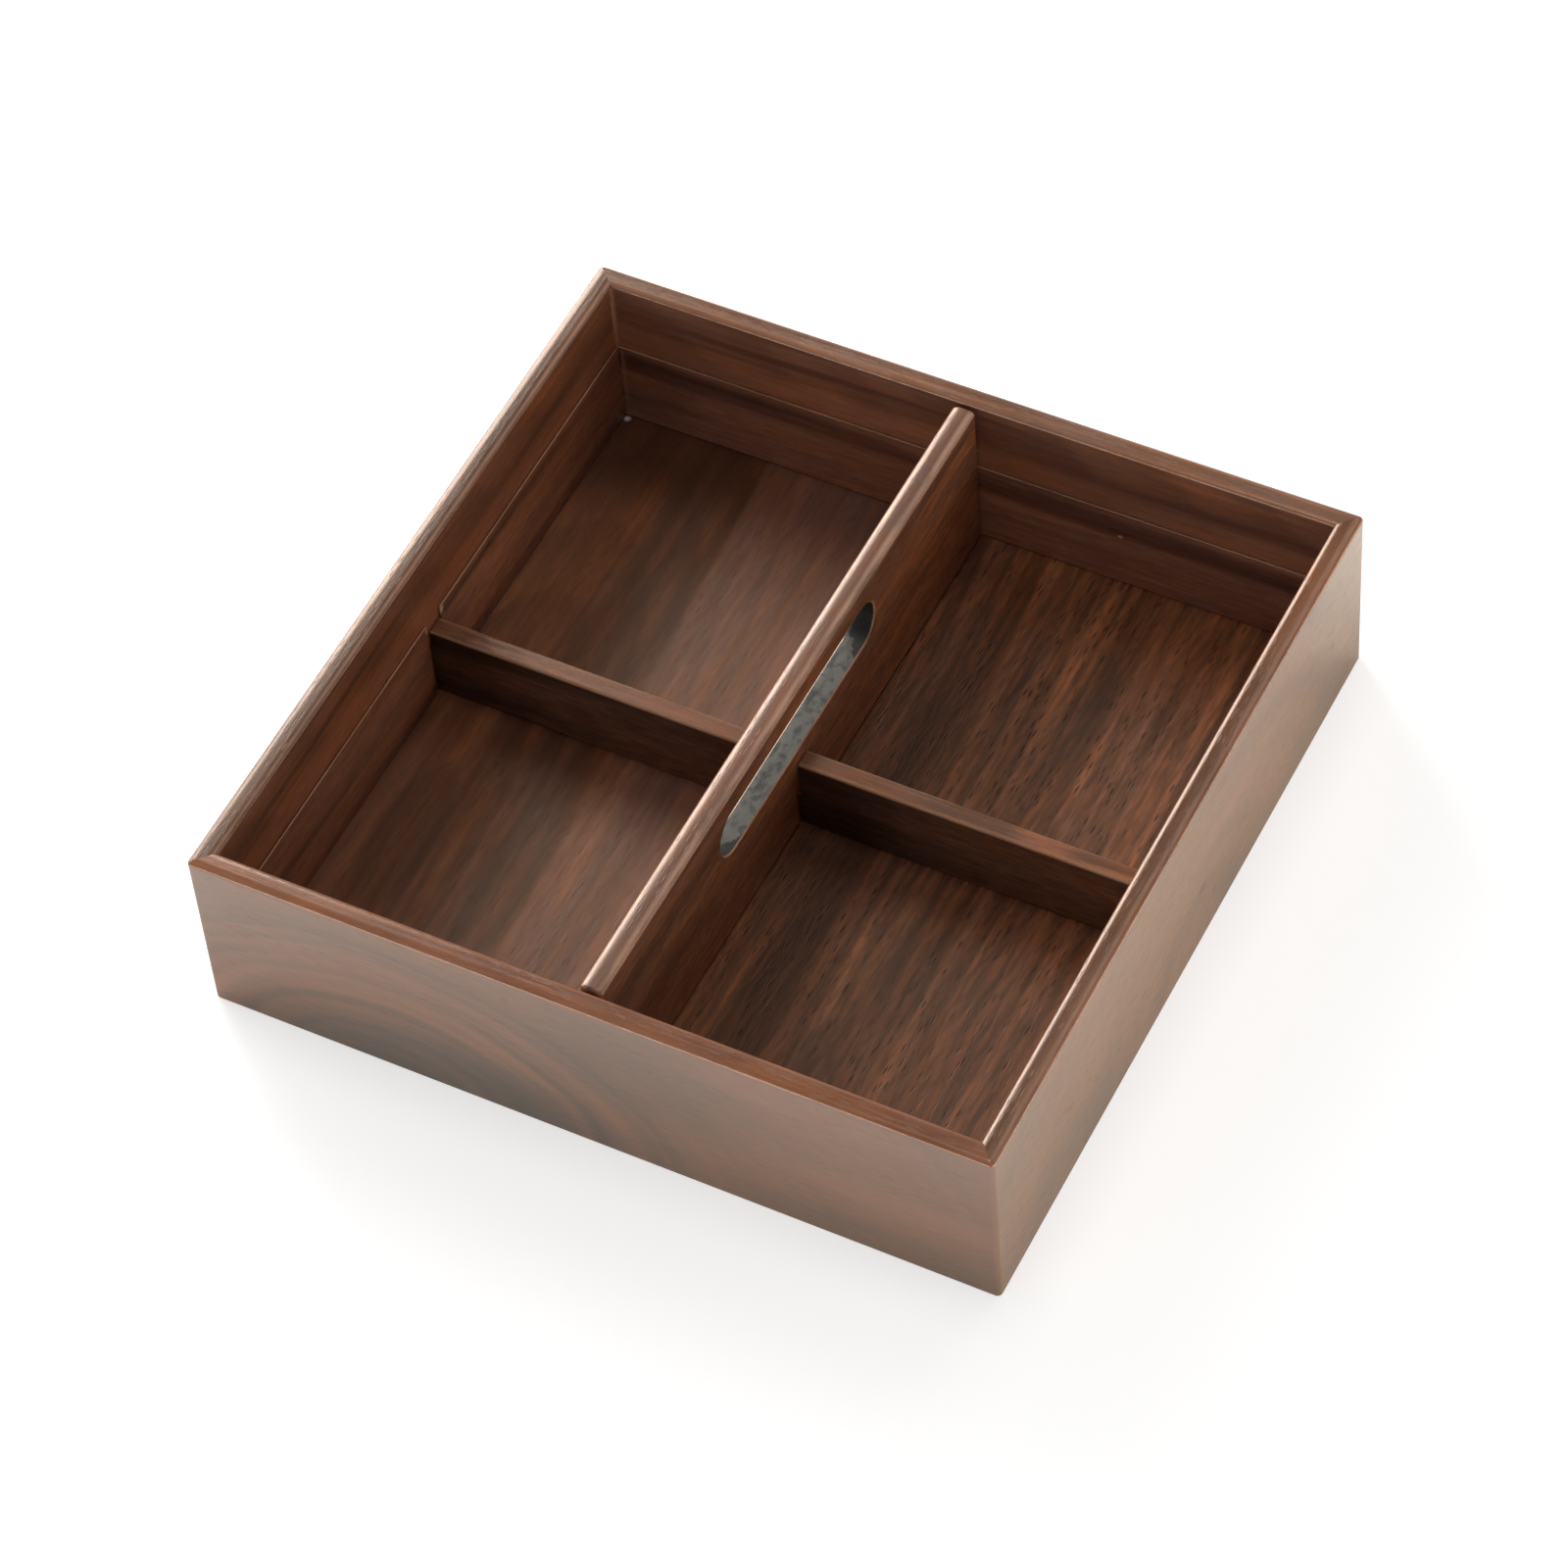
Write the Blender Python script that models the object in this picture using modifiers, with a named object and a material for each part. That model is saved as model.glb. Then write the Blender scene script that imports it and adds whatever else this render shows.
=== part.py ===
"""A square wooden snack tray: four mitred walls round a floor panel, thin lining strips inside them,
and a cross of two half-lapped dividers that stands loose in the tray and lifts straight out.

Metres, +Z up. The origin is the centre of the base, +X to the right and +Y to the back.
"""

import math

import bmesh
import bpy
from mathutils import Matrix, Vector

# Tray, outside
TRAY_WIDTH = 0.260
TRAY_DEPTH = 0.260
TRAY_HEIGHT = 0.066

# Walls, with the rounding of their rim, of their base, and of the outer corners beyond the rim's
WALL_THICKNESS = 0.0065
RIM_ARRIS = 0.0012
BASE_ARRIS = 0.0006
CORNER_BEYOND_ARRIS = 0.0004

# Floor panel, held in a groove round the walls
FLOOR_THICKNESS = 0.004
FLOOR_UNDERSIDE = 0.0025
GROOVE_DEPTH = 0.003

# Lining strips, which stand on the floor panel
LINING_THICKNESS = 0.001
LINING_HEIGHT = 0.0319

# Long divider, front to back, with its finger slot
LONG_DIVIDER_THICKNESS = 0.007
LONG_DIVIDER_BELOW_RIM = 0.0008
DIVIDER_ARRIS = 0.001
FINGER_SLOT_LENGTH = 0.101
FINGER_SLOT_HEIGHT = 0.017
FINGER_SLOT_BELOW_TOP = 0.0085

# Cross divider, left to right
CROSS_DIVIDER_THICKNESS = 0.0065
CROSS_DIVIDER_HEIGHT = 0.0275

# The whole cross lies turned in its play, clockwise from above
CROSS_TURN = math.radians(-0.35)

# Clearance between pieces that touch
FIT_GAP = 0.0003

# Smoothness of the rounded corners, arrises and slot ends
CORNER_STEPS = 4
ARRIS_SEGMENTS = 3
SLOT_END_STEPS = 16

# Two directions within this angle count as parallel, by its cosine
PARALLEL = math.cos(math.radians(15))

# Places that follow from the sizes
CORNER_RADIUS = RIM_ARRIS + CORNER_BEYOND_ARRIS
INNER_X = TRAY_WIDTH / 2 - WALL_THICKNESS
INNER_Y = TRAY_DEPTH / 2 - WALL_THICKNESS
FLOOR_TOP = FLOOR_UNDERSIDE + FLOOR_THICKNESS
STANDING_Z = FLOOR_TOP + FIT_GAP
LINED_X = INNER_X - FIT_GAP - LINING_THICKNESS
LINED_Y = INNER_Y - FIT_GAP - LINING_THICKNESS
CROSS_DIVIDER_TOP = STANDING_Z + CROSS_DIVIDER_HEIGHT
LONG_DIVIDER_TOP = TRAY_HEIGHT - LONG_DIVIDER_BELOW_RIM
LAP_Z = (STANDING_Z + CROSS_DIVIDER_TOP) / 2

# Colours of the walnut pieces, with their roughness
WALL_COLOUR, WALL_ROUGHNESS = (0.21, 0.115, 0.07), 0.45
FLOOR_COLOUR, FLOOR_ROUGHNESS = (0.085, 0.034, 0.018), 0.4
LINING_COLOUR, LINING_ROUGHNESS = (0.13, 0.06, 0.035), 0.5
LONG_COLOUR, LONG_ROUGHNESS = (0.23, 0.12, 0.075), 0.4
CROSS_COLOUR, CROSS_ROUGHNESS = (0.19, 0.095, 0.06), 0.45


def clear_scene():
    """Removes the scene's objects."""
    for item in list(bpy.data.objects):
        bpy.data.objects.remove(item, do_unlink=True)


def new_collection(name):
    """A collection of that name under the scene."""
    collection = bpy.data.collections.new(name)
    bpy.context.scene.collection.children.link(collection)
    return collection


def wood(name, colour, roughness):
    """A plain finished-wood material."""
    material = bpy.data.materials.new(name)
    material.use_nodes = True
    shader = material.node_tree.nodes["Principled BSDF"]
    shader.inputs["Base Color"].default_value = (*colour, 1.0)
    shader.inputs["Roughness"].default_value = roughness
    shader.inputs["Metallic"].default_value = 0.0
    return material


def add_object(name, mesh, collection, place=None):
    """An object of that mesh in that collection."""
    item = bpy.data.objects.new(name, mesh)
    item.matrix_world = place if place else Matrix()
    collection.objects.link(item)
    return item


def as_cutter(item):
    """Marks a cutter, which is a guide and not a piece of the tray."""
    item.hide_render = True
    item.display_type = "WIRE"
    return item


def block(name, low, high, collection):
    """A box between two corners, with its object at its centre."""
    low, high = Vector(low), Vector(high)
    mesh = bpy.data.meshes.new(name)
    shape = bmesh.new()
    bmesh.ops.create_cube(shape, size=1.0)
    bmesh.ops.scale(shape, vec=high - low, verts=shape.verts)
    shape.to_mesh(mesh)
    shape.free()
    return add_object(name, mesh, collection, Matrix.Translation((low + high) / 2))


def outline_solid(name, points, height, place, collection):
    """A flat outline drawn as a filled 2D curve and extruded to both sides of its plane."""
    curve = bpy.data.curves.new(name, "CURVE")
    curve.dimensions = "2D"
    curve.fill_mode = "BOTH"
    curve.extrude = height / 2
    spline = curve.splines.new("POLY")
    spline.points.add(len(points) - 1)
    for point, (x, y) in zip(spline.points, points):
        point.co = (x, y, 0.0, 1.0)
    spline.use_cyclic_u = True
    drawn = add_object(name + "_outline", curve, collection, place)
    bpy.context.view_layer.update()

    evaluated = drawn.evaluated_get(bpy.context.evaluated_depsgraph_get())
    mesh = bpy.data.meshes.new_from_object(evaluated)
    mesh.name = name
    solid = add_object(name, mesh, collection, drawn.matrix_world.copy())
    bpy.data.objects.remove(drawn, do_unlink=True)

    shape = bmesh.new()
    shape.from_mesh(mesh)
    bmesh.ops.remove_doubles(shape, verts=shape.verts, dist=1e-6)
    bmesh.ops.dissolve_limit(shape, angle_limit=math.radians(0.5), verts=shape.verts, edges=shape.edges)
    bmesh.ops.recalc_face_normals(shape, faces=shape.faces)
    shape.to_mesh(mesh)
    shape.free()
    return solid


def round_arrises(item, radius_of):
    """Rounds each edge to the radius that radius_of(one end, other end) says, where it says any."""
    shape = bmesh.new()
    shape.from_mesh(item.data)
    radii = [radius_of(*[corner.co for corner in edge.verts]) for edge in shape.edges]
    weights = shape.edges.layers.float.new("bevel_weight_edge")
    for edge, radius in zip(shape.edges, radii):
        edge[weights] = radius / max(radii)
    shape.to_mesh(item.data)
    shape.free()

    rounding = item.modifiers.new("arrises", "BEVEL")
    rounding.limit_method = "WEIGHT"
    rounding.width = max(radii)
    rounding.segments = ARRIS_SEGMENTS


def cut(item, cutter):
    """Cuts the cutter's shape out of the item."""
    cutting = item.modifiers.new(cutter.name, "BOOLEAN")
    cutting.operation = "DIFFERENCE"
    cutting.solver = "EXACT"
    cutting.object = cutter


def wall_outline(length):
    """A wall's plan, outer face on y = 0: mitred at both ends, with the outer corners rounded.

    Each mitre stands back by half the fit gap, and each corner's arc runs from the outer face to the mitre.
    """
    set_back = FIT_GAP / math.sqrt(2)
    arc_end = -math.pi / 4 - math.asin(set_back / (CORNER_RADIUS * math.sqrt(2)))
    right = []
    for step in range(CORNER_STEPS + 1):
        angle = -math.pi / 2 + (arc_end + math.pi / 2) * step / CORNER_STEPS
        x = length / 2 - CORNER_RADIUS + CORNER_RADIUS * math.cos(angle)
        right.append((x, CORNER_RADIUS + CORNER_RADIUS * math.sin(angle)))
    right.append((length / 2 - WALL_THICKNESS - set_back, WALL_THICKNESS))
    left = [(-x, y) for x, y in reversed(right)]
    return right + left


def wall_arris(one, other):
    """A wall's edges are rounded along its rim and its base, but not on the mitres or up its height."""
    along = (other - one).normalized()
    middle = (one + other) / 2
    mitre = Vector((-math.copysign(1, middle.x), 1, 0)).normalized()
    if abs(along.z) > PARALLEL or abs(along.dot(mitre)) > PARALLEL:
        return 0.0
    return RIM_ARRIS if middle.z > 0 else BASE_ARRIS


def make_walls(parts, cutters):
    """The four walls, each standing on its place round the tray, grooved for the floor panel."""
    reach_x = INNER_X + GROOVE_DEPTH
    reach_y = INNER_Y + GROOVE_DEPTH
    groove = as_cutter(block(
        "floor_groove",
        (-reach_x, -reach_y, FLOOR_UNDERSIDE - FIT_GAP),
        (reach_x, reach_y, FLOOR_TOP + FIT_GAP),
        cutters,
    ))
    places = {
        "front_wall": (0, TRAY_WIDTH, TRAY_DEPTH / 2),
        "right_wall": (90, TRAY_DEPTH, TRAY_WIDTH / 2),
        "back_wall": (180, TRAY_WIDTH, TRAY_DEPTH / 2),
        "left_wall": (270, TRAY_DEPTH, TRAY_WIDTH / 2),
    }
    for name, (turn, length, distance) in places.items():
        facing = Matrix.Rotation(math.radians(turn), 4, "Z")
        stand = facing @ Matrix.Translation((0, -distance, TRAY_HEIGHT / 2))
        wall = outline_solid(name, wall_outline(length), TRAY_HEIGHT, stand, parts)
        round_arrises(wall, wall_arris)
        cut(wall, groove)
        wall.data.materials.append(wood(name + "_walnut", WALL_COLOUR, WALL_ROUGHNESS))


def make_floor(parts):
    """The floor panel, which reaches into the walls' grooves."""
    reach_x = INNER_X + GROOVE_DEPTH - FIT_GAP
    reach_y = INNER_Y + GROOVE_DEPTH - FIT_GAP
    low = (-reach_x, -reach_y, FLOOR_UNDERSIDE)
    high = (reach_x, reach_y, FLOOR_TOP)
    floor = block("floor_panel", low, high, parts)
    floor.data.materials.append(wood("floor_walnut", FLOOR_COLOUR, FLOOR_ROUGHNESS))


def turned_reach(room, half_thickness):
    """Half the length of a board that lies turned by CROSS_TURN and still ends inside the room."""
    return (room - half_thickness * abs(math.sin(CROSS_TURN))) / math.cos(CROSS_TURN)


def make_lining(parts):
    """The lining strips: whole in front and behind, in two lengths at the sides.

    The cross divider's ends stand between the two lengths of a side.
    """
    z_low = STANDING_Z
    z_high = STANDING_Z + LINING_HEIGHT
    outer_x = INNER_X - FIT_GAP
    outer_y = INNER_Y - FIT_GAP
    side_y = LINED_Y - FIT_GAP
    sway = outer_x * abs(math.sin(CROSS_TURN))
    housing = CROSS_DIVIDER_THICKNESS / 2 + sway + FIT_GAP
    strips = {
        "front_lining": ((-outer_x, -outer_y), (outer_x, -LINED_Y)),
        "back_lining": ((-outer_x, LINED_Y), (outer_x, outer_y)),
        "left_lining_front": ((-outer_x, -side_y), (-LINED_X, -housing)),
        "left_lining_back": ((-outer_x, housing), (-LINED_X, side_y)),
        "right_lining_front": ((LINED_X, -side_y), (outer_x, -housing)),
        "right_lining_back": ((LINED_X, housing), (outer_x, side_y)),
    }
    for name, (low, high) in strips.items():
        strip = block(name, (*low, z_low), (*high, z_high), parts)
        strip.data.materials.append(wood(name + "_walnut", LINING_COLOUR, LINING_ROUGHNESS))


def divider_arris(axis):
    """A divider's two top edges along that axis are rounded, and no others."""
    def radius_of(one, other):
        along = (other - one).normalized()
        on_top = min(one.z, other.z) > 0
        return DIVIDER_ARRIS if on_top and abs(along.dot(axis)) > PARALLEL else 0.0
    return radius_of


def finger_slot_outline():
    """The slot's outline about its own centre: two straight runs and a half circle at each end."""
    radius = FINGER_SLOT_HEIGHT / 2
    run = FINGER_SLOT_LENGTH / 2 - radius
    points = []
    for side in (1, -1):
        for step in range(SLOT_END_STEPS + 1):
            angle = -math.pi / 2 + math.pi * step / SLOT_END_STEPS
            points.append((side * (run + radius * math.cos(angle)), side * radius * math.sin(angle)))
    return points


def make_long_divider(parts, cutters):
    """The tall divider, with the finger slot through it and a half lap from below."""
    half_x = LONG_DIVIDER_THICKNESS / 2
    half_y = turned_reach(LINED_Y - FIT_GAP, half_x)
    low = (-half_x, -half_y, STANDING_Z)
    high = (half_x, half_y, LONG_DIVIDER_TOP)
    board = block("long_divider", low, high, parts)
    round_arrises(board, divider_arris(Vector((0, 1, 0))))

    slot_z = LONG_DIVIDER_TOP - FINGER_SLOT_BELOW_TOP - FINGER_SLOT_HEIGHT / 2
    upright = Matrix.Rotation(math.pi / 2, 4, "X")
    along_board = Matrix.Rotation(math.pi / 2, 4, "Z")
    place = Matrix.Translation((0, 0, slot_z)) @ along_board @ upright
    slot = outline_solid("finger_slot", finger_slot_outline(), LONG_DIVIDER_THICKNESS * 2, place, cutters)
    as_cutter(slot)
    lap_y = CROSS_DIVIDER_THICKNESS / 2 + FIT_GAP
    lap = as_cutter(block(
        "long_divider_lap",
        (-LONG_DIVIDER_THICKNESS, -lap_y, STANDING_Z - LONG_DIVIDER_THICKNESS),
        (LONG_DIVIDER_THICKNESS, lap_y, LAP_Z + FIT_GAP / 2),
        cutters,
    ))
    cut(board, slot)
    cut(board, lap)
    board.data.materials.append(wood("long_divider_walnut", LONG_COLOUR, LONG_ROUGHNESS))
    return [board, slot, lap]


def make_cross_divider(parts, cutters):
    """The low divider, with a half lap from above. Its ends stand between the side lining strips."""
    half_y = CROSS_DIVIDER_THICKNESS / 2
    half_x = turned_reach(INNER_X - FIT_GAP, half_y)
    low = (-half_x, -half_y, STANDING_Z)
    high = (half_x, half_y, CROSS_DIVIDER_TOP)
    board = block("cross_divider", low, high, parts)
    round_arrises(board, divider_arris(Vector((1, 0, 0))))

    lap_x = LONG_DIVIDER_THICKNESS / 2 + FIT_GAP
    lap = as_cutter(block(
        "cross_divider_lap",
        (-lap_x, -CROSS_DIVIDER_THICKNESS, LAP_Z - FIT_GAP / 2),
        (lap_x, CROSS_DIVIDER_THICKNESS, CROSS_DIVIDER_TOP + CROSS_DIVIDER_THICKNESS),
        cutters,
    ))
    cut(board, lap)
    board.data.materials.append(wood("cross_divider_walnut", CROSS_COLOUR, CROSS_ROUGHNESS))
    return [board, lap]


def make_lift_out_cross(parts, cutters):
    """Both dividers and their cutters, turned together by an empty on the axis of the lift."""
    lift = bpy.data.objects.new("cross_lift", None)
    parts.objects.link(lift)
    lift.rotation_euler.z = CROSS_TURN
    for item in make_long_divider(parts, cutters) + make_cross_divider(parts, cutters):
        item.parent = lift


def main():
    """Builds the tray."""
    clear_scene()
    parts = new_collection("snack_tray")
    cutters = new_collection("cutters")
    make_walls(parts, cutters)
    make_floor(parts)
    make_lining(parts)
    make_lift_out_cross(parts, cutters)


main()
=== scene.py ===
# %% [markdown]
# # Dressing a walnut snack tray
# The tray is a square of four mitred walls round a floor panel. Thin lining strips stand inside the walls,
# and a cross of two half-lapped dividers lifts out by a long finger slot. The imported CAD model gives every
# place and size here, so this lesson is about two things: boards with softly rounded edges that catch the
# light, and a walnut finish that is worked out from the position of each point in the wood.

# %% Load the frame and keep its size
import math

import bpy
import numpy as np
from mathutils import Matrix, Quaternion, Vector


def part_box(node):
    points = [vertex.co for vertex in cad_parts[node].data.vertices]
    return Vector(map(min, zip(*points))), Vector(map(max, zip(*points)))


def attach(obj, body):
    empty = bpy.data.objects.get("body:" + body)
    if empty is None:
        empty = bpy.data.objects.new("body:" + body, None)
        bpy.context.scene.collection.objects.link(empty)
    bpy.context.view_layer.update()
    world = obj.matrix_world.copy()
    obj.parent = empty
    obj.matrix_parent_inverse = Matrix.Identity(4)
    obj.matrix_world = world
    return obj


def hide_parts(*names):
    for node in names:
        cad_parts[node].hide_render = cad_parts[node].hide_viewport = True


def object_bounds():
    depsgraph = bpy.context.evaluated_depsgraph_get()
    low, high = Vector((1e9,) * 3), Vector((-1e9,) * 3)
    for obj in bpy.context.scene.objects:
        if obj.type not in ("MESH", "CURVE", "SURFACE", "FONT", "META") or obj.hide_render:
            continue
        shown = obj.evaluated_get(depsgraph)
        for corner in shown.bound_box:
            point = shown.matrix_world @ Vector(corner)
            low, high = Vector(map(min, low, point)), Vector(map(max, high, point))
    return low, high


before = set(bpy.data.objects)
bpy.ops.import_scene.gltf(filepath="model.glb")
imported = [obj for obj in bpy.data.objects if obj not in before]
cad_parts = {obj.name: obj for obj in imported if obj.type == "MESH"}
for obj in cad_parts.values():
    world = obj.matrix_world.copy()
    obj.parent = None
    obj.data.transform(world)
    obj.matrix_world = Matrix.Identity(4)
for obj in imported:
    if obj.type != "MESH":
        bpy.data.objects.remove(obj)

cad_low, cad_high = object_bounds()
MM = 0.001
print("CAD box, mm", [round(v / MM, 1) for v in (*cad_low, *cad_high)])

# %% [markdown]
# ## The camera
# The photograph was taken from the front right, from high up and from far away, with a slightly tilted
# camera. A camera can be placed by hand until it looks right, but here its eye and the point it looks at
# were worked out from the corners of the tray, and a small roll about the line of sight finishes it.

# %% Place the camera
EYE = Vector((0.557, -0.9378, 1.3917))
AIM = Vector((-0.0105, 0.012, 0.0))
ROLL = math.radians(-5.36)
LENS, SENSOR = 133.4, 36.0


def new_object(name, data, place=None, turn=None):
    """Puts a new object into the scene, at the origin unless a place and a quaternion are given."""
    made = bpy.data.objects.new(name, data)
    bpy.context.scene.collection.objects.link(made)
    if turn is not None:
        made.location = place
        made.rotation_mode = "QUATERNION"
        made.rotation_quaternion = turn
    return made


camera_data = bpy.data.cameras.new("tray_camera")
camera_data.lens = LENS
camera_data.sensor_width = SENSOR
sight = (AIM - EYE).to_track_quat("-Z", "Y") @ Quaternion((0, 0, 1), ROLL)
bpy.context.scene.camera = new_object("tray_camera", camera_data, EYE, sight)
bpy.context.scene.view_settings.view_transform = "Standard"
print("camera is", round((AIM - EYE).length, 3), "m from its target")

# %% [markdown]
# ## Helpers for node trees
# Every material below is a tree of nodes. One helper adds a node, sets its options and feeds its inputs.
# The output of a node is kept as a Wire, which can be added and multiplied like a number: every sign
# between wires puts one more Math node in the tree.

# %% Wires and nodes
class Wire:
    """The output of a node. Each + - * / on it adds a Math node to its tree."""

    def __init__(self, socket):
        self.socket, self.tree = socket, socket.id_data

    def __add__(self, other):
        return maths("ADD", self, other)

    def __radd__(self, other):
        return maths("ADD", other, self)

    def __sub__(self, other):
        return maths("SUBTRACT", self, other)

    def __rsub__(self, other):
        return maths("SUBTRACT", other, self)

    def __mul__(self, other):
        return maths("MULTIPLY", self, other)

    def __truediv__(self, other):
        return maths("DIVIDE", self, other)


def add_node(tree, kind, inputs=None, output=None, **options):
    """Adds a shader node, sets its options, and fills its inputs or links them to wires or nodes.

    A colour may be three numbers. Returns the node, or the wire of one output if that is named.
    """
    made = tree.nodes.new("ShaderNode" + kind)
    for name, value in options.items():
        setattr(made, name, value)
    for key, value in (inputs or {}).items():
        socket = made.inputs[key]
        if isinstance(value, (Wire, bpy.types.Node)):
            tree.links.new(value.socket if isinstance(value, Wire) else value.outputs[0], socket)
        else:
            socket.default_value = (*value[:3], 1.0) if socket.type == "RGBA" else value
    return made if output is None else Wire(made.outputs[output])


def blank_tree(owner):
    """Turns on the nodes of a material or a world and empties them. Returns the tree."""
    owner.use_nodes = True
    owner.node_tree.nodes.clear()
    return owner.node_tree


# %% [markdown]
# A dozen kinds of node are enough for the whole tray. Each function below adds one of them, in the tree of
# the wires it is given, and returns its output.

# %% The common nodes
def tree_of(values):
    """The tree of the first wire among the values."""
    return next(value.tree for value in values if isinstance(value, Wire))


def maths(operation, *values, clamp=False):
    """A Math node on wires and numbers."""
    return add_node(tree_of(values), "Math", dict(enumerate(values)), 0, operation=operation,
                    use_clamp=clamp)


def vector(operation, *values, **named):
    """A Vector Math node on wires and triples. LENGTH gives a number, all others a vector."""
    output = "Value" if operation == "LENGTH" else "Vector"
    return add_node(values[0].tree, "VectorMath", {**dict(enumerate(values)), **named}, output,
                    operation=operation)


def remap(value, low, high, to_low=0.0, to_high=1.0, kind="SMOOTHSTEP"):
    """Carries a value from the span low to high onto to_low to to_high, and holds it at the ends."""
    inputs = {"Value": value, "From Min": low, "From Max": high, "To Min": to_low, "To Max": to_high}
    return add_node(value.tree, "MapRange", inputs, 0, interpolation_type=kind)


def mix(share, first, second):
    """Mixes two colours by a share from 0 to 1."""
    inputs = {0: share, 6: first, 7: second}
    return add_node(tree_of(inputs.values()), "Mix", inputs, 2, data_type="RGBA")


def split(place):
    """The X, Y and Z of a place."""
    return [Wire(socket) for socket in add_node(place.tree, "SeparateXYZ", {0: place}).outputs]


def join(*parts):
    """A place from its X, Y and Z."""
    return add_node(tree_of(parts), "CombineXYZ", dict(enumerate(parts)), 0)


def noise(place, span=None, detail=2.0, output="Fac", offset=None, **inputs):
    """Noise whose blots are as long, wide and deep as the span says, moved on by the offset."""
    if span is not None:
        place = vector("MULTIPLY", place, tuple(1 / size for size in span))
    if offset is not None:
        place = vector("ADD", place, offset)
    return add_node(place.tree, "TexNoise", {"Vector": place, "Scale": 1.0, "Detail": detail, **inputs},
                    output)


# %% [markdown]
# A node group is a tree that many materials share, so an effect is built once and looks the same in all of
# them. Its sockets are made first, and are then used from inside like the outputs of any other node.

# %% Starting and closing a group
def new_group(name, inputs):
    """Starts a group, where an input without a value is a vector. Returns the tree and the inputs."""
    tree = bpy.data.node_groups.new(name, "ShaderNodeTree")
    for key, value in inputs.items():
        kind = "NodeSocketVector" if value is None else "NodeSocketFloat"
        made = tree.interface.new_socket(name=key, in_out="INPUT", socket_type=kind)
        if value is not None:
            made.default_value = value
    start = tree.nodes.new("NodeGroupInput")
    return tree, [Wire(start.outputs[key]) for key in inputs]


def close_group(tree, results):
    """Gives a group its outputs, one number each. Returns the tree."""
    for key in results:
        tree.interface.new_socket(name=key, in_out="OUTPUT", socket_type="NodeSocketFloat")
    end = tree.nodes.new("NodeGroupOutput")
    for key, wire in results.items():
        tree.links.new(wire.socket, end.inputs[key])
    print(tree.name, "has", len(tree.nodes), "nodes")
    return tree


# %% [markdown]
# ## The floor, the surroundings and the light
# The photograph is a product shot on white: soft light everywhere, one bright softbox behind on the left
# that gleams on the tray's floor and on the edge of the long divider, and a white table that mirrors in
# the outer faces. The table here is a large plane. A little of its white is given out only to the camera
# and to reflections, so it looks clean and still carries the tray's soft shadow.

# %% White table
TABLE_HALF = 4.0
TABLE_WHITE = (0.8, 0.84, 0.87)
GLOW_TO_CAMERA = 0.55
# Beside the tray the glow in reflections is weaker: a painted shadow of the tray on the table.
REFLECTED_GLOW_IN_PAINTED_SHADOW = 0.18
GLOW_IN_REFLECTIONS = 0.9
PAINTED_SHADOW_REACH = 0.06

table_mesh = bpy.data.meshes.new("table")
table_corners = [(TABLE_HALF * x, TABLE_HALF * y, 0) for x, y in ((-1, -1), (1, -1), (1, 1), (-1, 1))]
table_mesh.from_pydata(table_corners, [], [(0, 1, 2, 3)])
table = new_object("table", table_mesh)

table_paint = bpy.data.materials.new("table_paint")
tree = blank_tree(table_paint)
rays = add_node(tree, "LightPath").outputs
glossy, through, seen = (Wire(rays[f"Is {ray} Ray"]) for ray in ("Glossy", "Transmission", "Camera"))
place = add_node(tree, "TexCoord", output="Object")
beyond = vector("SUBTRACT", vector("ABSOLUTE", place), (cad_high.x, cad_high.y, 0))
distance = vector("LENGTH", vector("MAXIMUM", beyond, (0, 0, 0)))
# In reflections the glow fades near the tray, which paints the tray's shadow into what its outer faces
# mirror.
mirrored = maths("MAXIMUM", glossy, through) * remap(distance, 0.0, PAINTED_SHADOW_REACH, REFLECTED_GLOW_IN_PAINTED_SHADOW,
                                                     GLOW_IN_REFLECTIONS)
glow = add_node(tree, "Emission", {"Strength": mirrored + seen * GLOW_TO_CAMERA})
paint = add_node(tree, "BsdfDiffuse", {"Color": TABLE_WHITE})
add_node(tree, "OutputMaterial", {"Surface": add_node(tree, "AddShader", {0: paint, 1: glow})})
table_mesh.materials.append(table_paint)
print("table is", 2 * TABLE_HALF, "m wide")

# %% [markdown]
# A real studio is bright at table height, where white walls stand round it, and dimmer overhead. The world
# copies that with a grey that depends on how high a direction points.

# %% Studio world
WORLD_AT_HORIZON = 0.5
WORLD_OVERHEAD = 0.08
DIM_ABOVE = 0.85

world = bpy.data.worlds.new("studio")
bpy.context.scene.world = world
tree = blank_tree(world)
height = split(add_node(tree, "TexCoord", output="Generated"))[2]
level = remap(height, 0.0, DIM_ABOVE, WORLD_AT_HORIZON, WORLD_OVERHEAD)
sky = add_node(tree, "Background", {"Color": (1, 1, 1), "Strength": level})
add_node(tree, "OutputWorld", {"Surface": sky})
print("world is", WORLD_AT_HORIZON, "at the horizon and", WORLD_OVERHEAD, "overhead")

# %% [markdown]
# Each softbox is a rectangle lamp. Its brightness is given as a level: the share of full white that it
# alone would give to white paper facing it. A lamp of power P at distance D gives P / (pi squared times D
# squared), so the helper turns this round to find the power.

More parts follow.
